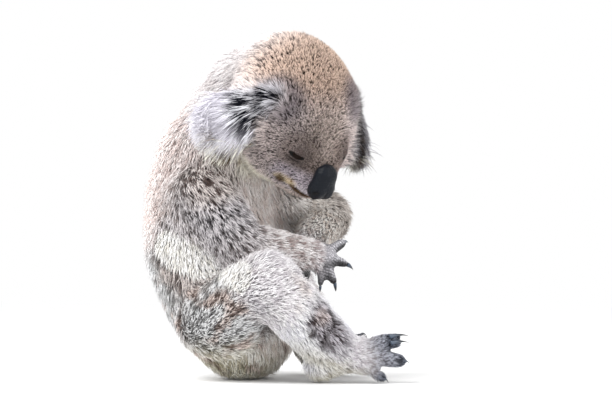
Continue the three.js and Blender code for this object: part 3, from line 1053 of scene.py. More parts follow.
# %% [markdown]
# The lids are darker than the face, and the fold under each eye and the slit between the lids are
# darkened with painted shade. The bare skin comes last, because no marking of the coat crosses it:
# grey pads on the fingers, dark palms and dark soles.


# %% Mark the lids and the bare skin
LID_FADES = (9.5, 12.5)  # millimetres from the eye's middle
FOLD_SHADE = 2.0  # how broad the dark line in the fold under the eye is
PALM_SHADE_FACES = (-0.55, 0.15)  # how far down a place must face to be palm


def mark_lids(on):
    on.lay("lid", near_eye(on.points, *LID_FADES))
    for side in SIDES:
        q = on_lid(on.points, side)
        fold = along_fold(q) * (q[:, 2] > -2)
        line = ridge(over_slit(q, fold) + LOWER_FOLD, FOLD_SHADE)
        # Painted shade: a dark line along the fold under the eye, and a near-black slit between the
        # lids over their dark margins.
        on.lay("lid_edge_and_shade", 0.9 * fold * line * (np.linalg.norm(q, axis=1) < 18))
        on.lay("lid_edge_and_shade", in_slit(on.points, side, 2.0))


def mark_bare(on):
    bare = bareness(on.points, on.normals, on.owned)
    of_hand = bare * on.of("digit", "hand") * (1 - ramp(on.of("foot"), 0.3, 0.6))
    on.lay("pad", of_hand)
    # The palm's dark skin is laid by how far the bare hand faces down, so it is partly painted
    # shade on the hand's underside.
    on.lay("palm", of_hand * ramp(-on.normals[:, 2], *PALM_SHADE_FACES))
    on.lay("sole", bare * on.of("foot", "digit") * (1 - near_claws(on.points, "hand")))


MARKS = (mark_trunk, mark_arms, mark_legs, mark_paws, mark_face, mark_ears, mark_lids, mark_bare)
report(mark_lids, skin_marks)
report(mark_bare, skin_marks)
dark, pale = skin_marks.dark, skin_marks.pale

# %% [markdown]
# ## Materials
#
# Nothing on an animal is one flat colour. One node group gives every finish its small uneven
# changes of colour and gloss, and the height of its grain, each with its own size and strength.
# It is built once and placed in every material, so that they all vary in the same manner.


# %% Build the uneven group
def add_node(tree, kind, inputs=None, **settings):
    """Adds a shader node. Each input is given a value, or the output it is linked from."""
    node = tree.nodes.new("ShaderNode" + kind)
    for name, value in settings.items():
        setattr(node, name, value)
    feed(tree, node, inputs or {})
    return node


def feed(tree, node, inputs):
    """Gives inputs of a node their values or links."""
    for socket, value in inputs.items():
        if isinstance(value, bpy.types.NodeSocket):
            tree.links.new(value, node.inputs[socket])
        else:
            node.inputs[socket].default_value = value


def maths(tree, operation, *values):
    """The result of a Math node."""
    return add_node(tree, "Math", dict(enumerate(values)), operation=operation).outputs["Value"]


def scaled(tree, colour, by):
    """A colour, made brighter or darker."""
    node = add_node(tree, "VectorMath", {0: colour, "Scale": by}, operation="SCALE")
    return node.outputs["Vector"]


def object_place(tree):
    """The place on the object that is being shaded."""
    return add_node(tree, "TexCoord").outputs["Object"]


def uneven_group():
    group = bpy.data.node_groups.new("uneven", "ShaderNodeTree")
    for name, kind, value in (("Color", "NodeSocketColor", (0.5, 0.5, 0.5, 1)),
                              ("Grain", "NodeSocketFloat", 500.0),
                              ("Change", "NodeSocketFloat", 0.15),
                              ("Roughness", "NodeSocketFloat", 0.7)):
        group.interface.new_socket(name, in_out="INPUT", socket_type=kind).default_value = value
    for name, kind in (("Color", "NodeSocketColor"), ("Roughness", "NodeSocketFloat"),
                       ("Height", "NodeSocketFloat")):
        group.interface.new_socket(name, in_out="OUTPUT", socket_type=kind)
    given, result = group.nodes.new("NodeGroupInput").outputs, group.nodes.new("NodeGroupOutput")
    grain = add_node(group, "TexNoise", {"Detail": 4, "Vector": object_place(group),
                                         "Scale": given["Grain"]}).outputs["Fac"]
    swing = maths(group, "MULTIPLY", maths(group, "SUBTRACT", grain, 0.5), given["Change"])
    brighter = maths(group, "ADD", maths(group, "MULTIPLY", swing, 4.0), 1.0)
    feed(group, result, {"Color": scaled(group, given["Color"], brighter), "Height": grain,
                         "Roughness": maths(group, "ADD", given["Roughness"], swing)})
    return group


uneven = uneven_group()
print("uneven group nodes:", len(uneven.nodes))

# %% [markdown]
# Every material of the animal starts in the same way: a colour, given or read from the points,
# goes through the uneven group into a Principled shader. The fur needs nothing more. A little less
# specular than usual keeps dark hairs dark under the wide lamps.


# %% Mix the fur
def emboss(tree, height, distance, strength=1.0, invert=False):
    """Presses a height into the shading; the distance is in millimetres."""
    relief = add_node(tree, "Bump", {"Distance": distance * MM, "Strength": strength,
                                     "Height": height}, invert=invert)
    feed(tree, tree.nodes["Principled BSDF"], {"Normal": relief.outputs["Normal"]})


def finish(name, grain, change, rough, colour=None, specular=0.5, bump=0.0):
    """A material made uneven; without a colour it reads the shades stored on the points."""
    material = bpy.data.materials.new(name)
    material.use_nodes = True
    tree = material.node_tree
    if colour:
        source = (*shade(*colour), 1)
    else:
        source = add_node(tree, "Attribute", attribute_name="coat").outputs["Color"]
    varied = add_node(tree, "Group", {"Grain": grain, "Change": change, "Roughness": rough,
                                      "Color": source}, node_tree=uneven).outputs
    feed(tree, tree.nodes["Principled BSDF"], {
        "Base Color": varied["Color"], "Roughness": varied["Roughness"],
        "Specular IOR Level": specular})
    if bump:
        emboss(tree, varied["Height"], bump)
    return material


fur = finish("fur", grain=700.0, change=0.06, rough=0.8, specular=0.15)
print("fur nodes:", len(fur.node_tree.nodes))

# %% [markdown]
# The bare skin of the palms and soles is leathery and crossed by fine wrinkles, some of which run
# round each digit. So the skin carries a second attribute: how far along its digit a point lies,
# and how bare it is. Modelled wrinkles would need very many faces, and bump is enough for them.

# %% Mix the skin
CELLS = 300  # wrinkles cross the skin in cells of about 3 mm
RING_TURNS = 70  # radians along a digit of 40 mm, for a wrinkle each 3.6 mm
RING_WEIGHT = 0.1  # the rings are faint beside the cells
BARE_GLOSS = 0.28  # bare skin is smoother than the skin under the coat


def skin_material():
    material = finish("skin", grain=420.0, change=0.08, rough=0.72, specular=0.18)
    tree = material.node_tree
    shader = tree.nodes["Principled BSDF"]
    cells = add_node(tree, "TexVoronoi", {"Scale": CELLS, "Vector": object_place(tree)},
                     feature="DISTANCE_TO_EDGE").outputs["Distance"]
    leather = add_node(tree, "Attribute", attribute_name="leather").outputs["Color"]
    parts = add_node(tree, "SeparateColor", {"Color": leather}).outputs
    along, bared = parts["Red"], parts["Green"]
    rings = maths(tree, "SINE", maths(tree, "MULTIPLY", along, RING_TURNS))
    height = maths(tree, "MULTIPLY", maths(tree, "MULTIPLY_ADD", rings, RING_WEIGHT, cells), bared)
    emboss(tree, height, 1.0)
    # Painted shade: the colour is scaled by the height, so the floor of a wrinkle is darker than
    # its edges, and skin that is not bare takes the factor of a wrinkle's floor.
    deeper = maths(tree, "MULTIPLY_ADD", height, 2.6, 0.45)
    colour, rough = (shader.inputs[name].links[0].from_socket
                     for name in ("Base Color", "Roughness"))
    feed(tree, shader, {"Base Color": scaled(tree, colour, deeper),
                        "Roughness": maths(tree, "MULTIPLY_ADD", bared, -BARE_GLOSS, rough)})
    return material


hide = skin_material()
print("skin nodes:", len(hide.node_tree.nodes))

# %% [markdown]
# Now the skin gets its shades, a little paler where the coat covers it, so that gaps between
# tufts don't read as holes.

# %% Finish the skin
COVERED_PALE = 0.3
DIGIT_LENGTH, DIGIT_REACH = 40 * MM, 18 * MM


def paint_vertices(mesh, name, colours):
    """Stores a colour on each vertex."""
    attribute = mesh.color_attributes.new(name, "FLOAT_COLOR", "POINT")
    rgba = np.concatenate([colours, np.ones((len(colours), 1))], axis=1)
    attribute.data.foreach_set("color", rgba.astype(np.float32).ravel())


along_digit = np.zeros(len(co))
for side, palm, root, tip, bow in claws.values():
    middle = palm_middle[side, palm]
    near = near_line(co, middle, root, DIGIT_REACH) > 0.2
    along_digit[near] = ((co[near] - middle) @ unit(root - middle)) / DIGIT_LENGTH
leathery = bare * part(owned, "hand", "foot", "digit")
leather = np.stack([along_digit, leathery, np.zeros(len(co))], axis=1)
paint_vertices(skin.data, "coat", dark + (COVERED_PALE * (1 - bare))[:, None] * (pale - dark))
paint_vertices(skin.data, "leather", leather)
only(skin)
bpy.ops.object.shade_smooth()
skin.data.materials.append(hide)
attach(skin, "root")
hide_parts(*FLESH)
print("leathery points:", int((leathery > 0.5).sum()))

# %% [markdown]
# ## The eyes
#
# The eyes are shut, but the slit between the lids is not quite closed, so each ball is a real one:
# a sphere whose cornea stands a little prouder, dark brown and barely shining in the shade of its
# lids. A dark line painted on the skin would look flat from the side.

# %% Make the eyeballs
EYE_RADIUS = max(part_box("right_eye")[1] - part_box("right_eye")[0]) / 2
CORNEA = 0.5 * MM  # how far it stands proud of the ball
brown = finish("eyeball", grain=300.0, change=0.12, rough=0.3, colour=(20, 11, 7), specular=0.05)
for side in SIDES:
    bpy.ops.object.select_all(action="DESELECT")
    bpy.ops.mesh.primitive_uv_sphere_add(segments=40, ring_count=24, radius=EYE_RADIUS,
                                         location=eye[side])
    ball = bpy.context.object
    ball.name = f"{side}_eyeball"
    bpy.ops.object.transform_apply(location=True, rotation=True, scale=True)
    points = read(ball.data)
    outwards = lid_axes[side][2]
    ahead = (points - eye[side]) @ outwards / EYE_RADIUS
    write(ball.data, points + (CORNEA * ramp(ahead, 0.72, 0.9))[:, None] * outwards)
    bpy.ops.object.shade_smooth()
    ball.data.materials.append(brown)
    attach(ball, "root")
    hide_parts(f"{side}_eye")
print("eye radius, mm:", round(EYE_RADIUS * 1000, 1))

# %% [markdown]
# ## The nose
#
# A koala's nose is a tall leathery pad, squarer than an oval and widest low down, with a comma of
# a nostril on each side. It could be modelled from a cube with loops of edges. A remeshed copy of
# the solid fits its place exactly, so it is only squared, and its nostrils are pressed in.

# %% Shape the nose pad
NOSTRIL = np.array([5, 13, -12])  # from the pad's middle: forward, aside and up
NOSTRIL_SIZE = np.array([12, 4.5, 6])
NOSTRIL_DEPTH = 4.2
GROOVE_DEPTH = 0.7  # the groove that runs down from between the nostrils
SQUARE = 3.1  # how square the pad's outline is: 2 is round
PAD_HALF = np.array([17, 21.0])  # half the pad's width and height
PAD_TILT = math.radians(25)  # the pad leans back up the muzzle
NOSE_HEIGHTS = (-20, -14, -6, 4, 14, 20)
NOSE_WIDTHS = (13.6, 16.5, 17.4, 16.6, 13, 9.5)  # half widths, before the squaring
CHIN_STRETCH = 1.13  # the lower half reaches down to the lip

nose = merged_copy("nose", ["nose_pad"])
apply(nose, "REMESH", mode="VOXEL", voxel_size=0.9 * MM, adaptivity=0)
apply(nose, "SMOOTH", factor=0.5, iterations=14)
lean = np.array([[math.cos(PAD_TILT), 0, math.sin(PAD_TILT)], [0, 1, 0],
                 [-math.sin(PAD_TILT), 0, math.cos(PAD_TILT)]])
local = (read(nose.data) - nose_tip) @ HEAD_AXES.T / MM @ lean.T
local[:, 2] *= np.where(local[:, 2] < 0, CHIN_STRETCH, 1)
widths = [np.abs(local[np.abs(local[:, 2] - h) < 3, 1]).max() for h in NOSE_HEIGHTS]
local[:, 1] *= np.interp(local[:, 2], NOSE_HEIGHTS, np.divide(NOSE_WIDTHS, widths))
flat = local[:, 1:] / PAD_HALF
round_out = np.linalg.norm(flat, axis=1)
square_out = (np.abs(flat) ** SQUARE).sum(axis=1) ** (1 / SQUARE)
local[:, 1:] *= (round_out / np.maximum(square_out, 1e-6))[:, None]
points = nose_tip + local @ lean @ HEAD_AXES * MM
pit = np.zeros(len(points))
for out in OUTWARDS.values():
    off = (local - NOSTRIL * [1, out, 1]) / NOSTRIL_SIZE
    off[:, 1] += out * 0.5 * off[:, 2]  # the comma slants
    pit = np.maximum(pit, np.clip(1 - np.sum(off ** 2, axis=1), 0, 1))
groove = ridge(local[:, 1], 1.1) * ramp(-local[:, 2], 6, 16)
pressed = (NOSTRIL_DEPTH * pit + GROOVE_DEPTH * groove) * MM
write(nose.data, points + unit(nose_tip - points) * pressed[:, None])
print("nose faces:", len(nose.data.polygons))

# %% [markdown]
# The pad's leather is pebbled: small rounded cells with fine lines between them. It is slate blue
# above and darker towards the lip, and black with painted shade in the nostrils and in the groove
# between them.

# %% Finish the nose
PEBBLES = 520  # pebbles of about 2 mm
lower = ramp(-local[:, 2], 4, 22)
slate, black = shade(9, 14, 22), shade(2, 2, 4)
# Painted shade in the nostril pits and the groove; the pad is also darker towards the lip.
dark_low_and_pit_shade = np.clip(0.55 * lower + pit * 1.2 + 0.4 * groove, 0, 1)
paint_vertices(nose.data, "coat", slate + dark_low_and_pit_shade[:, None] * (black - slate))
only(nose)
bpy.ops.object.shade_smooth()
nose_leather = finish("nose_leather", grain=260.0, change=0.14, rough=0.42, specular=0.17)
pebbled = nose_leather.node_tree
pebbles = add_node(pebbled, "TexVoronoi", {"Scale": PEBBLES, "Vector": object_place(pebbled)})
emboss(pebbled, pebbles.outputs["Distance"], 0.6, strength=0.8, invert=True)
nose.data.materials.append(nose_leather)
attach(nose, "root")
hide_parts("nose_pad")
print("nose shade, mean:", (slate + dark_low_and_pit_shade.mean() * (black - slate)).round(3))

# %% [markdown]
# ## The claws
#
# All the claws are one shape: a long cone, flattened sideways, bent down along an arc. It is
# modelled once, as a cone cut into rings. A bend modifier gives a plain arc. Moving the rings by
# numbers bends the claw as well, and lets it swell a little before it tapers.

# %% Model one claw
RINGS = 14
BEND = math.radians(58)
bpy.ops.object.select_all(action="DESELECT")
bpy.ops.mesh.primitive_cone_add(vertices=20, radius1=0.11, radius2=0.01, depth=1.0,
                                end_fill_type="TRIFAN", location=(0, 0, 0))
pattern = bpy.context.object
bpy.ops.object.mode_set(mode="EDIT")
for k in range(1, RINGS):
    bpy.ops.mesh.select_all(action="SELECT")
    bpy.ops.mesh.bisect(plane_co=(0, 0, -0.5 + k / RINGS), plane_no=(0, 0, 1))
bpy.ops.object.mode_set(mode="OBJECT")
straight = read(pattern.data)
claw_share = np.clip(straight[:, 2] + 0.5, 0, 1)  # from the root, 0, to the tip, 1


def arched(thick):
    """The claw's points, bent along its arc, at this many times the pattern's thickness."""
    angle = claw_share * BEND
    swell = 1 + 0.45 * claw_share * (1 - claw_share)  # it stays thick until near the tip
    flattened = 0.72 + 0.2 * claw_share
    height = straight[:, 0] * swell * thick
    return np.stack([
        np.sin(angle) / BEND + height * -np.sin(angle),
        straight[:, 1] * swell * flattened * thick,
        -(1 - np.cos(angle)) / BEND + height * np.cos(angle),
    ], axis=1)


pattern_tip = np.array([math.sin(BEND), 0, -(1 - math.cos(BEND))]) / BEND
pattern_chord = unit(pattern_tip)
pattern_bow = unit(np.array([0, 0, 1.0]) - pattern_chord[2] * pattern_chord)
pattern_axes = np.array([pattern_chord, np.cross(pattern_bow, pattern_chord), pattern_bow])
print("claw faces:", len(pattern.data.polygons))

# %% [markdown]
# Each digit gets a copy, turned so that its back follows the bow of the claw's solid. The claws
# are dark horn, slate at the root and nearly black at the tip.

# %% Copy the claw to every digit
ROOTED = 0.16  # the share of a claw that is rooted in its digit
THICK = {"finger": 2.1, "fourth_toe": 2.0, "fifth_toe": 1.9}  # against the slim combing claws
horn = finish("horn", grain=900.0, change=0.1, rough=0.3, specular=0.6, bump=0.06)
steel, ink = shade(66, 78, 94), shade(10, 10, 13)
for node, (side, palm, root, tip, bow) in claws.items():
    made = pattern.copy()
    made.data = pattern.data.copy()
    made.name = node.replace("_claw", "_horn")
    bpy.context.scene.collection.objects.link(made)
    length = np.linalg.norm(tip - root) / (np.linalg.norm(pattern_tip) * (1 - ROOTED))
    chord = unit(tip - root)
    if palm == "foot":  # a toe's claw arches upwards, away from the sole
        bow = bow + 1.2 * paw_back[side, palm] + np.array([0, 0, 1.6])
        bow = unit(bow - bow @ chord * chord)
    thick = max([by for ending, by in THICK.items() if ending in node], default=1)
    turned = (arched(thick) - pattern_tip) @ pattern_axes.T * length
    write(made.data, tip + turned @ np.array([chord, np.cross(bow, chord), bow]))
    tint = ramp(claw_share, 0.0, 0.75)
    paint_vertices(made.data, "coat", steel + tint[:, None] * (ink - steel))
    only(made)
    bpy.ops.object.shade_smooth()
    made.data.materials.append(horn)
    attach(made, "root")
    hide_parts(node)
bpy.data.objects.remove(pattern)
print("claws made:", len(claws))

# %% [markdown]
# ## The coat
#
# A tuft is a thin three-sided spike that rises from the skin and then lies down along the body.
# Nearly two hundred thousand of them, each with its own shade, make the fleck of the coat. A hair
# system would grow more of them more easily, but only solid mesh leaves this file with its shape.
# The tufts are built from arrays, because each one is a handful of faces.

# %% Read the skin as triangles
SQUARE_CM = 1e4  # square centimetres in a square metre
skin.data.calc_loop_triangles()
triangles = np.empty(len(skin.data.loop_triangles) * 3, np.int32)
skin.data.loop_triangles.foreach_get("vertices", triangles)
triangles = triangles.reshape(-1, 3)
edges = co[triangles[:, 1:]] - co[triangles[:, :1]]
areas = 0.5 * np.linalg.norm(np.cross(edges[:, 0], edges[:, 1]), axis=1)
density = coat(owned, "number")[triangles].mean(axis=1)
print("skin triangles:", len(triangles), "area, square cm:", round(areas.sum() * SQUARE_CM))

# %% [markdown]
# The roots are scattered at random, more where the coat is dense. None is kept on bare skin, or
# where another part lies against the skin, since its hair would come out on the far side.

# %% Scatter the roots
ROOM_OVER = 3.5 * MM  # what a root needs free above it
LIFT = 0.8 * MM
blockers = [tree_of(skin.data), tree_of(nose.data)]


def scatter(chosen):
    """Random roots on the chosen triangles: which triangle, and where on it."""
    wanted = areas[chosen] * SQUARE_CM * density[chosen]
    number = np.floor(wanted + dice.random(len(wanted))).astype(int)
    face = np.repeat(chosen, number)
    a, b = dice.random((2, len(face)))
    flip = a + b > 1
    a[flip], b[flip] = 1 - a[flip], 1 - b[flip]
    return face, np.stack([1 - a - b, a, b], axis=1)


def at_roots(values, face, place):
    """Values of the skin's points, read at the roots."""
    return np.einsum("nk,nk...->n...", place, values[triangles[face]])


def in_the_open(root, normal):
    """Which roots aren't pressed against another part."""
    return np.array([
        all(tree.ray_cast(Vector(p), Vector(n), ROOM_OVER)[0] is None for tree in blockers)
        for p, n in zip(root + LIFT * normal, normal)
    ], bool)


def rooted(chosen):
    """The roots that are kept: triangle, place on it, point, normal, and the regions' shares."""
    face, place = scatter(chosen)
    root = at_roots(co, face, place)
    normal = unit(at_roots(normals, face, place))
    own = at_roots(owned, face, place)
    bare_here = bareness(root, normal, own)
    keep = in_the_open(root, normal) & (bare_here < dice.uniform(0.3, 0.7, len(root)))
    return [values[keep] for values in (face, place, root, normal, own)]


print("densest coat, tufts on a square cm:", round(float(density.max())))

# %% [markdown]
# The tufts of a clump share their shade and lean together, so each clump starts from a seed: one
# root picked at random. The seeds are as far apart as the clumps are wide. On an ear the clumps
# are long streaks, so nearness is judged there by direction from the ear's root.

# %% Gather the roots in clumps
STREAK_TURN = 60 * MM  # how much the direction counts on an ear,
STREAK_RUN = 0.1  # and how much the distance along the hair


def clumps(root, own, run, on_ear_of):
    """For each root, which seed is nearest, the way to it, and how far off it is for the clump."""
    judged = root
    if on_ear_of:
        from_fan = root - fan[on_ear_of]
        judged = STREAK_TURN * unit(from_fan) + STREAK_RUN * from_fan
    size = coat(own, "clump") * MM
    chance = 1 / np.maximum(coat(own, "number") * (size * 100) ** 2, 1.5)
    seeds = np.flatnonzero(dice.random(len(root)) < chance)
    if len(seeds) == 0:
        seeds = np.array([0])
    tree = KDTree(len(seeds))
    for i, seed in enumerate(seeds):
        tree.insert(Vector(judged[seed]), i)
    tree.balance()
    nearest = np.array([tree.find(Vector(p))[1] for p in judged])
    to_seed = root[seeds[nearest]] - root
    to_seed -= np.sum(to_seed * run, axis=1, keepdims=True) * run
    return nearest, to_seed, np.clip(np.linalg.norm(to_seed, axis=1) / size, 0, 1)


print("clump size, mm:", {region: row[5] for region, row in COAT.items()})

# %% [markdown]
# Every piece of the coat needs a flat map, on which its shades can be baked. The skin under the
# piece is unwrapped, and each tuft gets a small patch at its root's place on that map. Unwrapping
# the tufts themselves would make a map of slivers.

# %% Lay the coat out flat
PATCH = 0.003  # the width of a tuft's patch on the flat map


def flat_map(chosen):
    """An unwrap of some of the skin's triangles: a flat place for each of their corners."""
    used, index = np.unique(triangles[chosen], return_inverse=True)
    mesh = bpy.data.meshes.new("unwrap")
    mesh.from_pydata(co[used].tolist(), [], index.reshape(-1, 3).tolist())
    sheet = bpy.data.objects.new("unwrap", mesh)
    bpy.context.scene.collection.objects.link(sheet)
    mesh.uv_layers.new(name="flat")
    only(sheet)
    bpy.ops.object.mode_set(mode="EDIT")
    bpy.ops.mesh.select_all(action="SELECT")
    bpy.ops.uv.smart_project(angle_limit=math.radians(66), island_margin=0.002)
    bpy.ops.object.mode_set(mode="OBJECT")
    places = np.empty(len(chosen) * 6)
    mesh.uv_layers["flat"].data.foreach_get("uv", places)
    bpy.data.objects.remove(sheet)
    bpy.data.meshes.remove(mesh)
    corners_flat = np.zeros((len(triangles), 3, 2), np.float32)
    corners_flat[chosen] = PATCH + (1 - 2 * PATCH) * places.reshape(-1, 3, 2)
    return corners_flat


print("flat map patch:", PATCH)

# %% [markdown]
# A tuft is drawn as a spine of one to three segments. It leaves the skin steeply, then bends down
# into the lie of the coat, and an ear's long hair droops a little. Three points round each joint
# of the spine and one at its tip make the spike, with its dark shade below and its pale one above.

# %% Build tufts
BURIED = 0.6 * MM  # how far a tuft starts under the skin
FLOOR_GAP = 0.3 * MM  # hair that meets the floor is pressed flat on it


def build(name, points, faces, shades, places):
    """An object from arrays, with its shades and its own flat map."""
    mesh = bpy.data.meshes.new(name)
    mesh.vertices.add(len(points))
    mesh.vertices.foreach_set("co", points.astype(np.float32).ravel())
    mesh.loops.add(faces.size)
    mesh.loops.foreach_set("vertex_index", faces.astype(np.int32).ravel())
    mesh.polygons.add(len(faces))
    mesh.polygons.foreach_set("loop_start", np.arange(0, faces.size, 3, dtype=np.int32))
    mesh.update(calc_edges=True)
    mesh.polygons.foreach_set("use_smooth", np.ones(len(faces), bool))
    paint_vertices(mesh, "coat", shades)
    flat = mesh.uv_layers.new(name="OFBake")
    flat.data.foreach_set("uv", places[faces.ravel()].astype(np.float32).ravel())
    made = bpy.data.objects.new(name, mesh)
    bpy.context.scene.collection.objects.link(made)
    return made


def spines(root, normal, along, length, rise, steps, droop):
    """The joints of each tuft's spine, and which way is up at each segment."""
    side = unit(np.cross(along, normal))
    spine, ups = [root - BURIED * normal], []
    for k in range(steps):
        angle = rise * (1.3 - 0.75 * k / (steps - 1)) if steps > 1 else rise
        step = np.cos(angle)[:, None] * along + np.sin(angle)[:, None] * normal
        step = unit(step - np.array([0, 0, droop * k]))
        ups.append(np.cross(side, step))
        spine.append(spine[-1] + step * (length / steps)[:, None])
    return side, spine, ups


def spike_faces(steps):
    """The faces of one tuft of this many segments."""
    faces = [(0, 2, 1)]
    for k in range(steps - 1):
        for c in range(3):
            a, b = 3 * k + c, 3 * k + (c + 1) % 3
            faces += [(a, b, b + 3), (a, b + 3, a + 3)]
    last = 3 * (steps - 1)
    return np.array(faces + [(last + c, last + (c + 1) % 3, last + 3) for c in range(3)])


def tufts(name, side, spine, ups, width, dark, pale, patch):
    """A mesh of thin three-sided spikes along these spines."""
    steps = len(ups)
    points, shades, places = [], [], []
    for k in range(steps):
        taper = 1 - (k / steps) ** 1.5 * 0.9
        tint = (k / steps) ** 1.2
        for corner in range(3):
            turn = math.radians(90 + 120 * corner)
            off = math.cos(turn) * side + 0.5 * math.sin(turn) * ups[k]
            points.append(spine[k] + off * (width * taper / 2)[:, None])
            shades.append(dark + tint * (pale - dark))
            places.append(patch + PATCH * np.array([corner / 2 - 0.5, k / steps - 0.5]))
    points.append(spine[steps])
    shades.append(pale)
    places.append(patch + PATCH * np.array([0, 0.5]))
    first = (np.arange(len(side)) * len(points))[:, None, None]
    index = first + spike_faces(steps)[None]
    points = np.stack(points, 1).reshape(-1, 3)
    points[:, 2] = np.maximum(points[:, 2], FLOOR_GAP)
    return build(name, points, index.reshape(-1, 3),
                 np.stack(shades, 1).reshape(-1, 3), np.stack(places, 1).reshape(-1, 2))


print("faces in a tuft:", {steps: len(spike_faces(steps)) for steps in (1, 2, 3)})

# %% [markdown]
# Hairs of one clump lean towards its seed, and no two lie quite alike. Near the eyes and in the
# creases they are shorter and thinner. Each hair's fleck says how much of its pale shade it shows.
# On the face single hairs are flecked; elsewhere whole locks are, and on the ears long streaks.

# %% Lay and shade the hairs
LOW, HIGH = np.array(cad_box)
ROOM = 14 * MM  # how far the coat may stand out of the solids' box
DARK_SHARE = 0.49  # the part of the coat that shows its dark shade


def lay(root, normal, own, run, to_seed, far, small, stray):
    """The direction and length of each hair."""
    length = coat(own, "length") * MM * small * dice.uniform(0.75, 1.15, len(root))
    length *= 1.1 - 0.3 * far
    along = unit(run + stray * dice.normal(size=root.shape))
    along += coat(own, "pull")[:, None] * to_seed / length[:, None]
    along = unit(along - np.sum(along * normal, axis=1, keepdims=True) * normal)
    beyond = np.maximum(LOW - ROOM - root - along * length[:, None],
                        root + along * length[:, None] - HIGH - ROOM).max(axis=1)
    return along, length * np.clip(1 - beyond / length, 0.3, 1)


def flecked(root, normal, own, nearest, far):
    """The shades at the base and the tip of each hair."""
    shared = dice.random(nearest.max() + 1)[nearest]
    plush, streaked = part(own, "head", "muzzle"), part(own, "ear")
    alike = 0.75 - 0.04 * plush + 0.2 * streaked  # how much a clump's hairs share their fleck
    fleck = alike * shared + (1 - alike) * dice.random(len(root))
    # Painted shade: hairs towards a clump's edge are darker, so dark gaps show between the locks.
    fleck = fleck + 0.4 * (0.45 - far) * (1 - streaked)  # a clump is palest in its middle
    middling = 0.19 - 0.12 * plush - 0.12 * streaked  # the part that is neither shade
    darker = 0.05 * streaked - 0.1 * plush
    fleck = ramp((fleck - DARK_SHARE - darker) / middling, -1, 1)[:, None]
    marks = Painting(root, normal, own)
    for mark in MARKS:
        mark(marks)
    dark, pale = marks.dark, marks.pale
    base = dark + (0.5 + 0.4 * streaked - 0.3 * plush)[:, None] * fleck * (pale - dark)
    return base, dark + fleck * (pale - dark)


print("room for hair round the box, mm:", round(ROOM / MM))

# %% [markdown]
# The coat is grown in pieces, one for each part of the body and each side, so that none of them
# gets too heavy. Each piece knows its regions, its slot and how many segments its tufts have.

# %% Grow the coat
EAR_DROOP = 0.22
PIECES = {  # regions, slot, segments in a tuft
    "back": (("trunk",), "back", 2),
    "nape": (("neck",), "back", 2),
    "head": (("head",), "face", 1),
    "muzzle": (("muzzle",), "face", 1),
    "ear": (("ear",), "ear", 3),
    "arm": (("upper_arm", "forearm"), "arm", 2),
    "leg": (("thigh", "shank"), "leg", 2),
    "paws": (("hand", "foot", "digit"), "leg", 1),
}


def grow(name, of_side, chosen, slot, steps):
    """One piece of the coat on the chosen triangles; gives its number of triangles."""
    on_ear = slot == "ear"
    face, place, root, normal, own = rooted(chosen)
    small = 1 - 0.6 * near_eye(root, 10, 24)
    for start, end, _ in creases:
        small *= 1 - 0.45 * near_line(root, start, end, 12 * MM)
    run = at_roots(lie, face, place)
    nearest, to_seed, far = clumps(root, own, run, of_side if on_ear else None)
    along, length = lay(root, normal, own, run, to_seed, far, small, 0.1 if on_ear else 0.2)
    width = coat(own, "width") * MM * np.sqrt(small) * dice.uniform(0.7, 1.2, len(root))
    rise = np.radians(coat(own, "rise") * dice.uniform(0.65, 1.3, len(root)))
    base, tip = flecked(root, normal, own, nearest, far)
    patch = np.einsum("nk,nkc->nc", place, flat_map(chosen)[face])
    shape = spines(root, normal, along, length, rise, steps, EAR_DROOP if on_ear else 0.0)
    made = tufts(name, *shape, width, base, tip, patch)
    made.data.materials.append(fur)
    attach(made, "root")
    print(name, "tufts:", len(root), "triangles:", len(made.data.polygons))
    return len(made.data.polygons)


owner = owned[triangles].mean(axis=1).argmax(axis=1)
middles = co[triangles].mean(axis=1)
total = 0
for name, (regions, slot, steps) in PIECES.items():
    mine = np.isin(owner, [REGIONS.index(region) for region in regions])
    across = on_head(middles)[:, 1] if slot == "face" else middles[:, 0]
    for side, out in OUTWARDS.items():
        chosen = np.flatnonzero(mine & (across * out > 0))
        total += grow(f"coat_{side}_{name}", side, chosen, slot, steps)
print("coat triangles:", total)

# %% [markdown]
# ## Floor and light
#
# A plain pale floor runs out to a white backdrop. A floor of one colour would show a horizon.
# Close to the animal this one is an ordinary surface that takes its shadow, and further out it
# fades to the backdrop's white.

# %% Lay the floor
FLOOR_RADIUS = 8
FADE = (0.25, 1.9)  # metres from the middle where the floor starts and ends its fade
bpy.ops.object.select_all(action="DESELECT")
bpy.ops.mesh.primitive_circle_add(vertices=96, radius=FLOOR_RADIUS, fill_type="NGON",
                                  location=(0, 0, 0))
floor = bpy.context.object
floor.name = "floor"


def seen_by(tree, ray):
    """1 for what the camera sees, directly or by this other kind of ray."""
    path = add_node(tree, "LightPath").outputs
    return maths(tree, "MAXIMUM", path["Is Camera Ray"], path[ray])


def mixed(tree, share, first, second):
    """A blend of two shaders."""
    return add_node(tree, "MixShader", {"Fac": share, 1: first, 2: second}).outputs["Shader"]


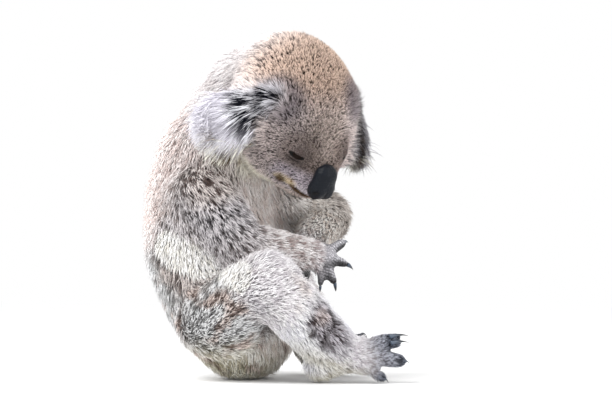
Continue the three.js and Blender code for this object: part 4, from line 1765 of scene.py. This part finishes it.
def floor_material():
    material = finish("floor", grain=3.0, change=0.01, rough=0.9, colour=(236, 236, 236))
    tree = material.node_tree
    distance = add_node(tree, "VectorMath", {0: object_place(tree)}, operation="LENGTH")
    fade = add_node(tree, "MapRange", {"Value": distance.outputs["Value"], "From Min": FADE[0],
                                       "From Max": FADE[1]}, interpolation_type="SMOOTHERSTEP")
    share = maths(tree, "MULTIPLY", fade.outputs["Result"], seen_by(tree, "Is Glossy Ray"))
    pale = tree.nodes["Principled BSDF"].outputs["BSDF"]
    white = add_node(tree, "Emission").outputs["Emission"]
    feed(tree, tree.nodes["Material Output"], {"Surface": mixed(tree, share, pale, white)})
    return material


floor.data.materials.append(floor_material())
print("floor radius, m:", FLOOR_RADIUS)

# %% [markdown]
# The light is soft and comes from all around, as in a studio. A bright world gives most of it, and
# three wide lamps give the body its form: the key from above and behind its right shoulder, a
# broad fill in front of it, and a rim light behind. The world looks pure white to the camera, but
# lights the animal a little less than white would.

# %% Light the scene
WORLD_LIGHT = 0.91
WHITE = (1, 1, 1, 1)
world = bpy.data.worlds.new("studio")
bpy.context.scene.world = world
world.use_nodes = True
sky = world.node_tree
ambient = sky.nodes["Background"]
feed(sky, ambient, {"Color": WHITE, "Strength": WORLD_LIGHT})
backdrop = add_node(sky, "Background", {"Color": WHITE, "Strength": 1.0})
feed(sky, sky.nodes["World Output"], {
    "Surface": mixed(sky, seen_by(sky, "Is Transmission Ray"), ambient.outputs["Background"],
                     backdrop.outputs["Background"])})


def softbox(name, place, size, power):
    """A square lamp that looks at the middle of the animal."""
    lamp = bpy.data.lights.new(name, "AREA")
    lamp.size = size
    lamp.energy = power
    made = bpy.data.objects.new(name, lamp)
    made.location = MIDDLE + Vector(place)
    made.rotation_euler = Vector(place).to_track_quat("Z", "Y").to_euler()
    bpy.context.scene.collection.objects.link(made)
    print(name, "watts:", power)


softbox("key", (-1.3, 0.8, 1.9), 1.5, 54)
softbox("fill", (-0.6, -2.2, 0.9), 2.0, 34)
softbox("rim", (-0.3, 2.3, 1.2), 1.8, 39)
bpy.context.scene.view_settings.view_transform = "Standard"
